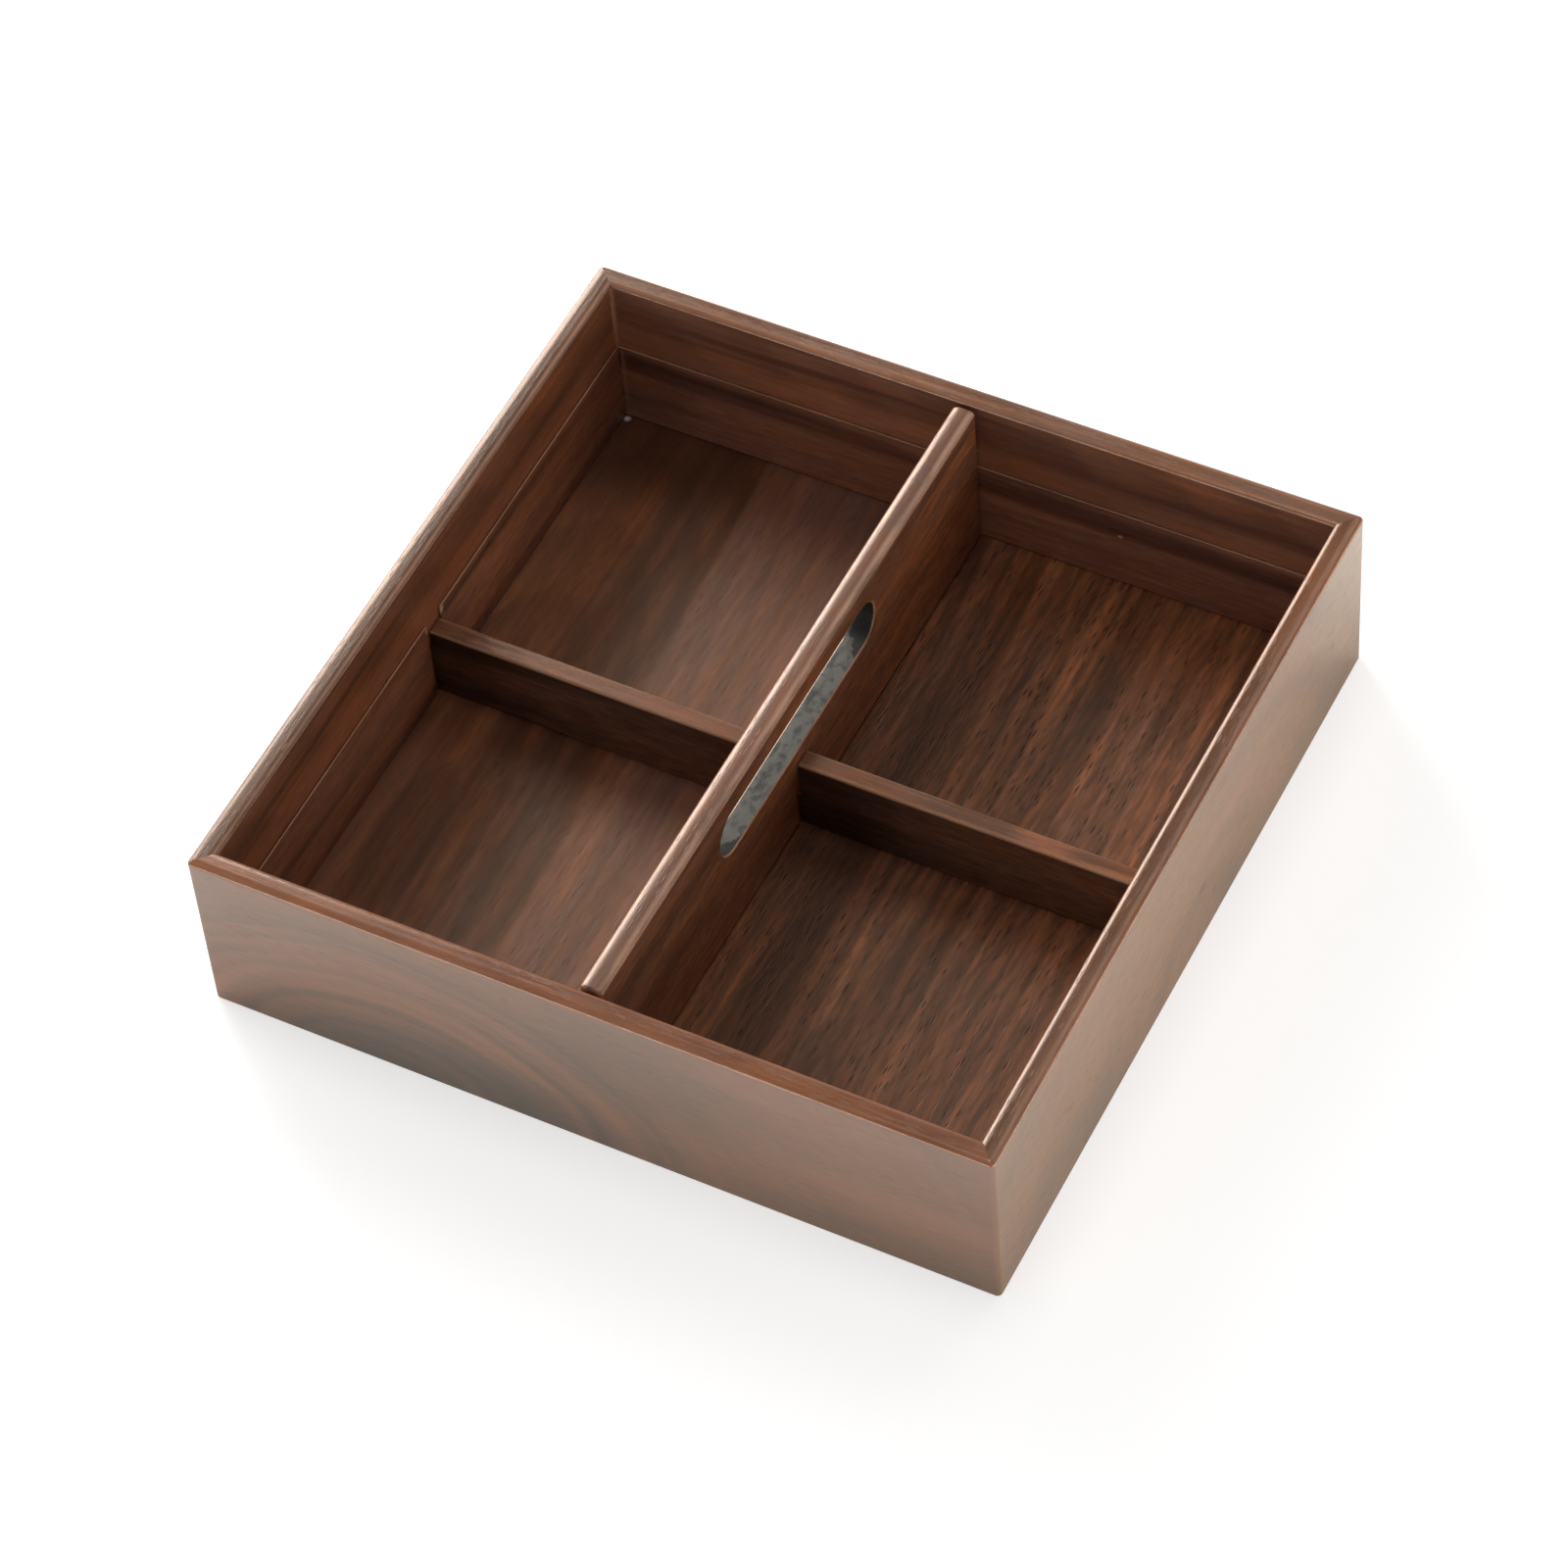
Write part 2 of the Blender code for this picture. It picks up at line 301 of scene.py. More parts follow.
# %% Softboxes
WARM_WHITE = (1.0, 0.93, 0.87)
SOFTBOXES = {  # direction from the tray, distance, width and height, level
    "window": ((-0.705, 0.58, 0.4), 1.2, (0.58, 0.74), 0.7),
    "left_softbox": ((-1.0, 0.15, 0.35), 1.2, (0.6, 0.5), 0.3),
    "high_softbox": ((-0.6, 0.38, 0.7), 1.2, (0.5, 0.5), 0.11),
    "overhead_softbox": ((0.0, 0.0, 1.0), 1.4, (0.45, 0.45), 0.12),
    "back_softbox": ((0.15, 0.55, 0.82), 1.2, (0.6, 0.6), 0.1),
    "right_softbox": ((1.0, -0.15, 0.18), 1.2, (1.2, 0.3), 0.4),
    "right_card": ((1.0, -0.05, 0.07), 0.6, (1.2, 0.08), 0.5),
    "front_softbox": ((-0.3, -1.0, 0.11), 1.3, (1.2, 0.24), 0.38),
}


def softbox(name, towards, distance, size, level):
    """A rectangle lamp in a direction from the tray, facing it, at a brightness level from 0 to 1."""
    lamp_data = bpy.data.lights.new(name, "AREA")
    lamp_data.shape = "RECTANGLE"
    lamp_data.size, lamp_data.size_y = size
    lamp_data.energy = level * math.pi ** 2 * distance ** 2
    lamp_data.color = WARM_WHITE
    towards = Vector(towards).normalized()
    lamp = new_object(name, lamp_data, towards * distance, towards.to_track_quat("Z", "Y"))
    lamp.visible_camera = False
    print(f"{name}: {lamp_data.energy:.2f} W")


for lamp_name, lamp_row in SOFTBOXES.items():
    softbox(lamp_name, *lamp_row)

# %% [markdown]
# ## Walnut, part one: the figure
# Walnut has dark and orange-brown streaks that follow the board, growth rings that cut the face in long
# arches, and patches where the colour turns redder. A photo texture would repeat and stretch. Here the
# colour is a function of the place in the wood: noise stretched along the board makes the streaks, and the
# distance from the heart of the tree makes the rings, so the figure runs on over every edge as it does in
# solid wood. The group works in millimetres with X along the grain.

# %% The figure group
def make_figure_group():
    """Streaks, strands, rings and patches of walnut, from 0 to 1, from a place in the wood in millimetres.

    The place is first bent by noise on (x / 110, y / 45, z / 45), by up to half the drift. The distance
    from the heart is the length of (stretch * x, y, z), so equal distances are long ovals. Rings are the
    fraction of distance / ring gap, dark just before each ring ends. Streaks are noise on (x / 230, a / w,
    b / w), where w is the streak width and (a, b) goes from (y, z) to (distance, 0) as follow goes from 0
    to 1. Strands and hues are noise on (x / 45, y / 2.4, z / 2.4), patches on (x / 60, y / 14, z / 14).
    """
    tree, (place, width, ring_gap, heart, stretch, drift, follow, detail) = new_group(
        "Walnut figure", {"Vector": None, "Streak Width": 9.0, "Ring Gap": 7.0, "Heart": None,
                          "Stretch": 0.3, "Drift": 7.0, "Follow": 0.0, "Detail": 4.0})
    sway = vector("SUBTRACT", noise(place, (110, 45, 45), 1.0, "Color"), (0.5, 0.5, 0.5))
    bent = vector("ADD", place, vector("SCALE", sway, Scale=drift))
    from_heart = vector("SUBTRACT", bent, heart)
    distance = vector("LENGTH", vector("MULTIPLY", from_heart, join(stretch, 1.0, 1.0)))
    phase = maths("FRACT", distance / ring_gap)
    rings = remap(phase, 0.15, 0.8) * remap(phase, 0.8, 1.0, 1.0, 0.0)

    x, y, z = split(bent)
    across = y + (distance - y) * follow
    deeper = z * (1.0 - follow)
    streaks = noise(join(x / 230.0, across / width, deeper / width), detail=detail, Roughness=0.52)
    strand = noise(bent, (45, 2.4, 2.4), output="Color")
    strand = add_node(tree, "SeparateColor", {0: strand}).outputs
    patches = noise(bent, (60, 14, 14), offset=(31.7, 12.9, 7.3))
    return close_group(tree, {"Streaks": remap(streaks, 0.34, 0.66),
                              "Strands": remap(Wire(strand["Red"]), 0.3, 0.7),
                              "Hues": remap(Wire(strand["Green"]), 0.32, 0.68), "Rings": rings,
                              "Patches": remap(patches, 0.42, 0.66), "Distance": distance})


FIGURE = make_figure_group()

# %% [markdown]
# ## Walnut, part two: pores and fibres
# Close up, walnut is full of short dark ticks, its cut vessels, among fine pale and dark fibres. The ticks
# come from a cell pattern stretched along the grain: the middle of each cell is a pore. A second noise
# thins them out, because real pores crowd together in some rings. The same masks later dent the surface.

# %% The pore group
def make_pore_group():
    """Pores, flecks and fibres of walnut, each from 0 to 1, from a place in the wood in millimetres.

    A pore is where the distance to the nearest cell centre is small, on (x / length, y / width, z / width)
    with y sheared by slant times x. Flecks are noise on (x / 1.3 length, y / 1.6 width, z / 1.6 width)
    with the same shear. Fibres are noise on (x / 26, y / 0.55, z / 0.55).
    """
    tree, (place, length, width, slant, crowding) = new_group(
        "Walnut pores", {"Vector": None, "Length": 7.0, "Width": 1.1, "Slant": 0.0, "Crowding": 0.5})
    x, y, z = split(place)
    cell = join(x / length, (y + x * slant) / width, z / width)
    away = add_node(tree, "TexVoronoi", {"Vector": cell, "Scale": 1.0, "Randomness": 1.0}, "Distance")
    crowded = remap(noise(place, (70, 5, 5)), crowding - 0.14, crowding + 0.1)
    flecks = noise(cell, (1.3, 1.6, 1.6), Roughness=0.6)
    fibres = noise(place, (26, 0.55, 0.55), 3.0)
    return close_group(tree, {"Pores": remap(away, 0.12, 0.38, 1.0, 0.0) * crowded,
                              "Flecks": remap(flecks, 0.32, 0.68),
                              "Fibres": remap(fibres, 0.3, 0.7, kind="LINEAR")})


PORES = make_pore_group()

# %% [markdown]
# ## Walnut, part three: worn and lit edges
# Sanding and hands make the rounded edge of a board a little paler than its faces, and the same paler tone
# here also paints the highlight that the lamps leave along rounded edges. The surfaces below carry a number
# at each point, called arris, that is 1 on the rounded edge and 0 on the flat. The group breaks that up with
# noise.

# %% The worn and lit edge group
def make_worn_and_lit_edge_group():
    """Where an edge is worn and painted as lit, from 0 to 1: the arris number times stretched noise."""
    tree, (place, arris) = new_group("Worn and lit edge", {"Vector": None, "Arris": 0.0})
    broken = remap(noise(place, (18, 3, 3), 3.0), 0.3, 0.62, 0.35, 1.0)
    return close_group(tree, {"Rubbed": maths("MULTIPLY", broken, arris, clamp=True)})


WORN_AND_LIT_EDGE = make_worn_and_lit_edge_group()

# %% [markdown]
# ## Marks that belong to one place
# A dark heart, a knot or a pale speck sits in one place of one board, where no noise would put it. Such a
# mark is a stain: a soft ellipsoid, given in the millimetres of the tray, in which the wood takes another
# tone. Many stains below paint light and shade instead: painted shade in corners, gaps and beside tall
# boards, and painted glints. The floor also has a pale band with a clear edge, which leans a little to the
# grain: partly a paler streak of the wood, partly the painted sheen of the softbox on the floor.

# %% Places, stains and the band
SPOT_CORE = 0.3
BAND_EDGE, BAND_LINE, BAND_FADE = 3, 6, 18
BAND_WAVE = 3.0
BAND_END = 20
LINE_SHARE = 0.35


def in_the_wood(place, turn, shift=(0, 0, 0)):
    """Carries a place in the tray into the wood: in millimetres, with X along the grain."""
    return add_node(place.tree, "Mapping", {"Vector": place, "Rotation": (0, 0, math.radians(turn)),
                                            "Location": shift, "Scale": (1 / MM, 1 / MM, 1 / MM)}, 0)


def spot(place, centre, size):
    """A soft ellipsoid mask: 1 up to the core's share of its size, 0 beyond its size, in millimetres."""
    inputs = {"Vector": place, "Scale": tuple(1 / (MM * s) for s in size),
              "Location": tuple(-c / s for c, s in zip(centre, size))}
    away = vector("LENGTH", add_node(place.tree, "Mapping", inputs, 0))
    return remap(away, SPOT_CORE, 1.0, 1.0, 0.0)


def with_band(colour, wood, strands, dark, edge, end, lean, tone, share):
    """Lays a band over a colour where wood Y - lean * X is below edge, fading where Y is below end.

    The strands make its edge wavy, and a thin dark line runs along it.
    """
    x, y, _ = split(wood)
    lead = y - x * lean + strands * BAND_WAVE
    line = remap(lead, edge, edge + BAND_EDGE, 0.0, LINE_SHARE)
    line = line * remap(lead, edge + BAND_LINE, edge + BAND_FADE, 1.0, 0.0)
    within = remap(lead, edge, edge + BAND_EDGE, share, 0.0) * remap(y, end, end + BAND_END)
    return mix(within, mix(line, colour, dark), tone)


# %% [markdown]
# ## One recipe for all the boards
# Each board was sawn from its own plank, so each gets its own material from one recipe. The place in the
# wood is turned so that X runs along the board, and shifted so that no two boards show the same grain.
# Four colours are laid over each other: the ground, dark streaks and rings, orange-brown streaks, and the
# nearly black pores. Roughness and a fine bump follow the same masks.

# %% The walnut recipe
ORANGE_TINT = (1.15, 1.0, 0.62)
GREY_TINT = (0.88, 1.0, 1.18)
PORE_SHADE = 0.45
PORE_DULL = 0.25
EDGE_POLISH = 0.08
FIBRE_RELIEF = 0.006
CALM_PORES, CALM_STREAKS, CALM_RINGS = 0.35, 0.7, 0.3
STAIN_IN_PALE = 0.7


def towards_half(mask, share):
    """Draws a mask from 0 to 1 towards 0.5. A share of 1 leaves it as it is."""
    return 0.5 + share * (mask - 0.5)


def about_one(mask, share):
    """Carries a mask from 0 to 1 onto 1 - share to 1 + share, to be multiplied with a colour."""
    return remap(mask, 0.0, 1.0, 1.0 - share, 1.0 + share, kind="LINEAR")


def walnut(name, turn, shift, tones, streak_width=12.0, ring_gap=9.0, ring_share=0.35,
           heart=(0.0, 0.0, 0.0), stretch=0.3, dark_share=0.85, warm_share=0.8, pore_share=0.5,
           pore_length=6.0, pore_width=0.8, slant=0.0, fleck_share=0.22, fibre_share=0.12,
           edge=(0.4, 0.21, 0.145), worn_and_lit_edge_share=0.55, roughness=0.36, drift=7.0, gloss=0.5,
           sheen=(1.0, 0.86, 0.76), sheen_break=0.05, dent=0.035, stroke=0.01, hue_share=0.6,
           follow=0.0, detail=4.0, strand_share=0.08, calm_side=None, stains=(), ring_tone=None,
           calm_beyond=None, band=None):
    """A walnut material whose colour at each point is worked out from the point's place in the wood.

    Turn is the angle in degrees that brings the grain onto X, and shift moves the place on, in mm. Tones
    are the colours of the ground, the dark streaks and the warm streaks. Every share says how much of an
    effect is mixed in, from 0 to 1. Calm side is (from, to) in the wood's Y, between which streaks, pores
    and strands grow from faint to full. Calm beyond is (from, to) in distance from the heart, over which
    streaks and rings fade. Stains are rows of (centre, size, tone, share), a little weaker in the pale
    streaks. Band holds the last five values of with_band.
    """
    ground, dark, warm = tones
    made = bpy.data.materials.new(name)
    tree = blank_tree(made)
    place = add_node(tree, "TexCoord", output="Object")
    wood = in_the_wood(place, turn, shift)
    arris = add_node(tree, "Attribute", output="Fac", attribute_name="arris")
    figure = add_node(tree, "Group", node_tree=FIGURE, inputs={
        "Vector": wood, "Streak Width": streak_width, "Ring Gap": ring_gap, "Heart": heart,
        "Stretch": stretch, "Drift": drift, "Follow": follow, "Detail": detail})
    pores = add_node(tree, "Group", node_tree=PORES, inputs={
        "Vector": wood, "Length": pore_length, "Width": pore_width, "Slant": slant})
    worn_and_lit = add_node(tree, "Group", {"Vector": wood, "Arris": arris}, 0, node_tree=WORN_AND_LIT_EDGE)
    streaks, strands, hues, rings, patches, distance = map(Wire, figure.outputs)
    pore, fleck, fibre = map(Wire, pores.outputs)

    if calm_side is not None:
        side = split(wood)[1]
        lively = remap(side, *calm_side, CALM_PORES, 1.0)
        pore = pore * lively
        fleck, strands = towards_half(fleck, lively), towards_half(strands, lively)
        streaks = towards_half(streaks, remap(side, *calm_side, CALM_STREAKS, 1.0))
    if calm_beyond is not None:
        near = remap(distance, *calm_beyond, 1.0, CALM_RINGS)
        rings = rings * near
        streaks = towards_half(streaks, near)

    pale = remap(streaks, 0.45, 1.0, 0.0, warm_share) * remap(patches, 0.0, 1.0, 0.35, 1.0)
    colour = mix(pale, ground, warm)
    colour = mix(remap(streaks, 0.0, 0.5, dark_share, 0.0), colour, dark)
    colour = mix(rings * ring_share, colour, dark if ring_tone is None else ring_tone)
    for centre, size, tone, share in stains:
        within = spot(place, centre, size) * remap(streaks, 0.0, 1.0, share, STAIN_IN_PALE * share)
        colour = mix(within, colour, tone)
    if band is not None:
        colour = with_band(colour, wood, strands, dark, *band)
    tint = mix(patches * 0.5 + hues * 0.5, GREY_TINT, ORANGE_TINT)
    colour = mix(hue_share, colour, vector("MULTIPLY", colour, tint))
    lightness = about_one(fibre, fibre_share) * about_one(fleck, fleck_share)
    colour = vector("SCALE", colour, Scale=lightness * about_one(strands, strand_share))
    colour = mix(pore * pore_share, colour, [PORE_SHADE * v for v in dark])
    # The edge tone is wear, and on rounded edges it also paints the highlight that light leaves there.
    colour = mix(worn_and_lit * worn_and_lit_edge_share, colour, edge)

    dull = pore * PORE_DULL + remap(fleck, 0.0, 1.0, roughness + sheen_break, roughness - sheen_break)
    relief = fleck * stroke - pore * dent + fibre * FIBRE_RELIEF
    bump = add_node(tree, "Bump", {"Height": relief, "Distance": MM, "Strength": 1.0})
    shader = add_node(tree, "BsdfPrincipled", {
        "Base Color": colour, "Roughness": dull - arris * EDGE_POLISH, "Normal": bump,
        "Specular IOR Level": gloss, "Specular Tint": sheen})
    add_node(tree, "OutputMaterial", {"Surface": shader})
    made.diffuse_color = (*ground, 1)
    return made


# %% [markdown]
# ## The floor panel
# The floor is one flat panel whose grain runs from front to back. Its CAD shape is right as it stands, so
# the node stays and only gets a better material. It is the darkest wood of the tray, with strong streaks and
# the most open pores on its right half, and calmer wood with the pale band on its left half. Nearly black
# stains on it are painted shade, along the back wall, in the back left corner and beside the long divider.

# %% Floor material
FLOOR_TONES = ((0.212, 0.075, 0.034), (0.07, 0.026, 0.012), (0.385, 0.152, 0.074))
FLOOR_DARK = FLOOR_TONES[1]
# The pink of the pale band is partly paler wood and partly the painted sheen of the softbox on the floor.
FLOOR_PINK_AND_SHEEN = (0.42, 0.225, 0.18)
FLOOR_RED = (0.35, 0.125, 0.052)
# Painted shade, nearly black, for the floor along the back wall, in the back left corner and beside the long
# divider.
FLOOR_PAINTED_SHADE = (0.066, 0.021, 0.008)
FLOOR_RUST = (0.27, 0.09, 0.032)
FLOOR_SPECK = (0.8, 0.74, 0.7)
FLOOR_STAINS = [
    # Beside the long divider's right face: partly a dark streak of the wood, partly painted shade.
    ((18, 0, 7), (26, 150, 6), FLOOR_PAINTED_SHADE, 0.82),
    ((-112, -62, 7), (36, 80, 6), FLOOR_DARK, 0.25),
    ((-74, -70, 7), (9, 60, 6), FLOOR_DARK, 0.5),
    ((-90, 70, 7), (5, 70, 6), FLOOR_DARK, 0.7),
    ((-104, 62, 7), (24, 60, 6), FLOOR_RED, 0.3),
    # Painted shade along the back wall and in the back left corner.
    ((-62, 116, 7), (80, 36, 6), FLOOR_PAINTED_SHADE, 0.78),
    ((-116, 112, 7), (44, 34, 6), FLOOR_PAINTED_SHADE, 0.5),
    ((62, -70, 7), (64, 60, 6), FLOOR_DARK, 0.42),
    ((-62, 62, 7), (50, 52, 6), FLOOR_DARK, 0.25),
    ((70, 108, 7), (70, 34, 6), FLOOR_RUST, 0.5),
    ((-121, 120.8, 7), (1.6, 1.6, 3), FLOOR_SPECK, 0.9)]

floor_walnut = walnut(
    "floor_walnut", -90, (951, -274, 199), FLOOR_TONES, streak_width=10.0, ring_share=0.5,
    heart=(891, -170, 219), pore_share=0.85, fleck_share=0.24, fibre_share=0.08, roughness=0.45,
    sheen_break=0.08, dent=0.08, slant=0.05, warm_share=0.85, gloss=0.7, stroke=0.05, pore_length=7.0,
    pore_width=1.1, hue_share=0.75, strand_share=0.3, calm_side=(-249, -284), sheen=(1.0, 0.82, 0.66),
    band=(-272, -274, 0.064, FLOOR_PINK_AND_SHEEN, 0.27), stains=FLOOR_STAINS)
for node_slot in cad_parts["floor_panel"].material_slots:
    node_slot.material = floor_walnut

# %% [markdown]
# ## Helpers for surfaces
# Every board here is a ring of points carried along a line. The ring is the board's outline or its section
# with rounded corners. A Bevel modifier could round a box too, but a worked-out ring gives each edge its
# own radius and lets each point know how far round the edge it is.

# %% Rounded outline
ARC_STEPS = 6
FLAT_MARGIN = 0.15 * MM
TINY = 1e-9


def unit(steps):
    """Steps of any length made one long."""
    return steps / np.linalg.norm(steps, axis=-1, keepdims=True)


def rounded_loop(corners, radii, arc_steps=ARC_STEPS):
    """Rounds the square corners of a closed outline. Returns its points and an arris number for each.

    From a corner, b and a are the steps back and ahead along its edges. The arc's centre is corner +
    radius * (a + b), and its points are centre - radius * (a * cosine + b * sine) of a quarter turn. The
    arris number is the sine of how far round the arc a point is. One more point on each side, just past
    the arc, keeps the flats flat.
    """
    corners = np.asarray(corners, float)[:, None]
    radii = np.asarray(radii, float)[:, None, None]
    back = unit(np.roll(corners, 1, axis=0) - corners)
    ahead = unit(np.roll(corners, -1, axis=0) - corners)
    turn = np.linspace(0, np.pi / 2, arc_steps + 1)[None, :, None]
    arc = corners + radii * (ahead * (1 - np.cos(turn)) + back * (1 - np.sin(turn)))
    past = radii + np.minimum(FLAT_MARGIN, radii / 5)
    points = np.concatenate([corners + back * past, arc, corners + ahead * past], axis=1)
    on_arc = np.hstack([0, np.sin(2 * turn[0, :, 0]), 0])
    return points.reshape(-1, 2), (np.clip(radii[:, :, 0] / MM, 0, 1) * on_arc).reshape(-1)


def flatten_top(ring, top, radius, drop):
    """Lowers a rounding: points less than radius below the top are drawn up until it is drop deep."""
    below = top - ring[:, 1]
    height = top - np.where(below < radius + TINY, below * drop / radius, below)
    return np.stack([ring[:, 0], height], axis=1)


# %% [markdown]
# Moving an outline inwards by the same distance everywhere needs a direction at each point: the sum of the
# normals of its two edges, divided by one plus their dot product. With it a ring can be carried along a
# board and drawn in where the board ends.

# %% Rings carried along a board
def inward(loop):
    """For each point of an anticlockwise loop, the step that moves both its edges inwards by one."""
    edge = np.roll(loop, -1, axis=0) - loop
    normal = unit(np.stack([-edge[:, 1], edge[:, 0]], axis=1))
    before = np.roll(normal, 1, axis=0)
    return (before + normal) / (1 + (before * normal).sum(1, keepdims=True))


def rectangle(left, right, bottom, top):
    """The corners of a rectangle, anticlockwise from the lower left."""
    return [(left, bottom), (right, bottom), (right, top), (left, top)]


def eased_end(ease, steps):
    """A rounded end: ease * (1 - cosine) away from it, the ring is drawn in by ease * (1 - sine)."""
    turn = np.linspace(0, np.pi / 2, steps)
    return ease * (1 - np.cos(turn)), ease * (1 - np.sin(turn))


def carried(ring, places, insets, drop=0.0, along_y=False):
    """The ring at each place along X or Y, drawn in by its inset, with its points lowered by drop."""
    loop = ring[None] + insets[:, None, None] * inward(ring)[None]
    along = np.broadcast_to(places[:, None], loop.shape[:2])
    across, height = loop[..., 0], loop[..., 1] - drop
    return np.stack([across, along, height] if along_y else [along, across, height], axis=2)


def turned(grid, angle):
    """Turns points about Z by an angle."""
    cosine, sine = round(math.cos(angle), 12), round(math.sin(angle), 12)
    x, y, z = grid[..., 0], grid[..., 1], grid[..., 2]
    return np.stack([cosine * x - sine * y, sine * x + cosine * y, z], axis=-1)


# %% [markdown]
# A grid of points becomes a mesh when each point is joined with its neighbours. Smooth shading hides the
# facets of the roundings, and edges sharper than a limit stay crisp. The same function puts the board on
# its body, in place of its CAD node, and gives each strip of faces its own material.

# %% From a grid to a mesh
SHARP_ABOVE = math.radians(34)


def board(name, grid, arris, body, replaced, materials, closed=False, strip_materials=None):
    """Makes a board from a grid of points, rows by ring, and puts it on its body.

    Point (i, j) has number i * ring + j, and each face joins it with its neighbours in both ways. The ring
    closes on itself, and the rows too if closed is set. If not, one flat face ends each side. If the faces
    come out facing inwards, which the sign of the volume tells, all are turned round.
    """
    rows, ring = grid.shape[:2]
    number = np.arange(rows * ring).reshape(rows, ring)
    beside = np.roll(number, -1, axis=1)
    quads = np.stack([number, beside, np.roll(beside, -1, axis=0), np.roll(number, -1, axis=0)], axis=2)
    quads = quads[:rows if closed else rows - 1].reshape(-1, 4)
    caps = [] if closed else [number[0, ::-1].tolist(), number[-1].tolist()]
    faces = quads.tolist() + caps
    points = grid.reshape(-1, 3)
    a, b, c, d = np.moveaxis(points[quads] - points.mean(0), 1, 0)
    if (np.cross(c - a, d - b) * a).sum() < 0:
        faces = [face[::-1] for face in faces]
    mesh = bpy.data.meshes.new(name)
    mesh.from_pydata(points.tolist(), [], faces)
    for material in materials:
        mesh.materials.append(material)
    if strip_materials is not None:
        index = np.hstack([np.tile(strip_materials, len(quads) // ring), [0] * len(caps)])
        mesh.polygons.foreach_set("material_index", index.astype(np.int32))
    rounding = np.broadcast_to(arris, (rows, ring)).reshape(-1).astype(np.float32)
    mesh.attributes.new("arris", "FLOAT", "POINT").data.foreach_set("value", rounding)
    mesh.polygons.foreach_set("use_smooth", np.ones(len(mesh.polygons), bool))
    mesh.set_sharp_from_angle(angle=SHARP_ABOVE)
    mesh.validate()
    mesh.update()
    made = new_object(name, mesh)
    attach(made, body)
    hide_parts(*replaced)
    low, high = points.min(0) / MM, points.max(0) / MM
    print(f"{name}: {len(mesh.polygons)} faces, {low.round(2)} to {high.round(2)}")


# %% [markdown]
# ## The walls
# Each wall is a flat board, 6.5 mm thick, mitred at both ends, with a rounded rim and a groove low on its
# inner face that holds the floor panel. The photograph shows the rim half a millimetre wider than that, so
# the walls here have that much more on their inner face. The cross section is drawn once as depth and
# height: from the outer foot over the rim to the groove and the inner foot.

# %% The section of a wall
wall_low, wall_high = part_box("front_wall")
floor_low, floor_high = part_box("floor_panel")
HALF = -wall_low.y
RIM = wall_high.z
MORE_INSIDE = 0.5 * MM
WALL = wall_high.y - wall_low.y + MORE_INSIDE
INSIDE = HALF - WALL
PLAY = 0.3 * MM
GROOVE = WALL - (HALF - floor_high.x) + PLAY
RIM_ROUND = 2.5 * MM
RIM_DROP = 1.3 * MM
BASE_ROUND = 0.6 * MM
INNER_CORNER = 0.1 * MM

wall_section = [(0, 0), (0, RIM), (WALL, RIM), (WALL, floor_high.z + PLAY),
                (WALL - GROOVE, floor_high.z + PLAY), (WALL - GROOVE, floor_low.z - PLAY),
                (WALL, floor_low.z - PLAY), (WALL, 0)]
wall_radii = [BASE_ROUND, RIM_ROUND, RIM_ROUND, *[INNER_CORNER] * 4, BASE_ROUND / 2]
wall_ring, wall_arris = rounded_loop(wall_section, wall_radii)
wall_ring = flatten_top(wall_ring, RIM, RIM_ROUND, RIM_DROP)
print("wall ring", wall_ring.shape, "rim", RIM / MM, "wall", WALL / MM, "groove", GROOVE / MM)

# %% [markdown]
# The rounded upright corners of the tray come from the same ring. Near the end of the board the outermost
# points turn round an arc of an eighth of a circle up to the mitre, and the deeper points stay straight.

# %% Carry the section along a wall
CORNER_ROUND = 1.6 * MM
MITRE_GAP = 0.02 * MM
CREEP = 1.2 * MM


def wall_grid(ring, half, corner, steps=6, straight=24):
    """The surface of one wall along X, at the front, with its outer face on y = -half.

    With depth d from the outer face, the straight part runs to half - max(corner, d). Beyond it a point
    turns round the centre (half - max, max) at radius max(corner - d, 0), from 0 to 45 degrees, which
    ends on the mitre. Deeper points have no radius left, so they creep along the board instead.
    """
    depth, height = ring[:, 0], ring[:, 1]
    reach = np.maximum(corner, depth)
    radius = np.maximum(corner - depth, 0)
    angle = np.linspace(0, np.pi / 4, steps + 1)[:, None]
    creep = CREEP * np.minimum(depth / corner, 1) * (1 - angle / (np.pi / 4))
    end_x = half - MITRE_GAP - reach + radius * np.sin(angle) - creep
    end_depth = reach - radius * np.cos(angle)
    middle_x = np.linspace(-1, 1, straight)[1:-1, None] * end_x[:1]
    middle_depth = np.broadcast_to(depth, middle_x.shape)
    along = np.concatenate([-end_x[::-1], middle_x, end_x])
    inward_by = np.concatenate([end_depth[::-1], middle_depth, end_depth])
    tall = np.broadcast_to(height, along.shape)
    return np.stack([along, inward_by - half, tall], axis=2)


front_grid = wall_grid(wall_ring, HALF, CORNER_ROUND)
print("wall grid", front_grid.shape)

# %% [markdown]
# A veneered board shows three woods: the veneer of its outer face, the edge strip on its rim, and the
# veneer inside. The strips of the ring between the rim's two roundings take the rim's wood, and the
# others take the outer or the inner wood by their depth. The heart of each outer veneer is a point in
# the wood, about which its rings run as long ovals. The front's heart lies low down, and the front is greyer
# and darker low down. The right side has broad calm bands and three pin knots, is darker low down, and is
# paler at its far top corner.

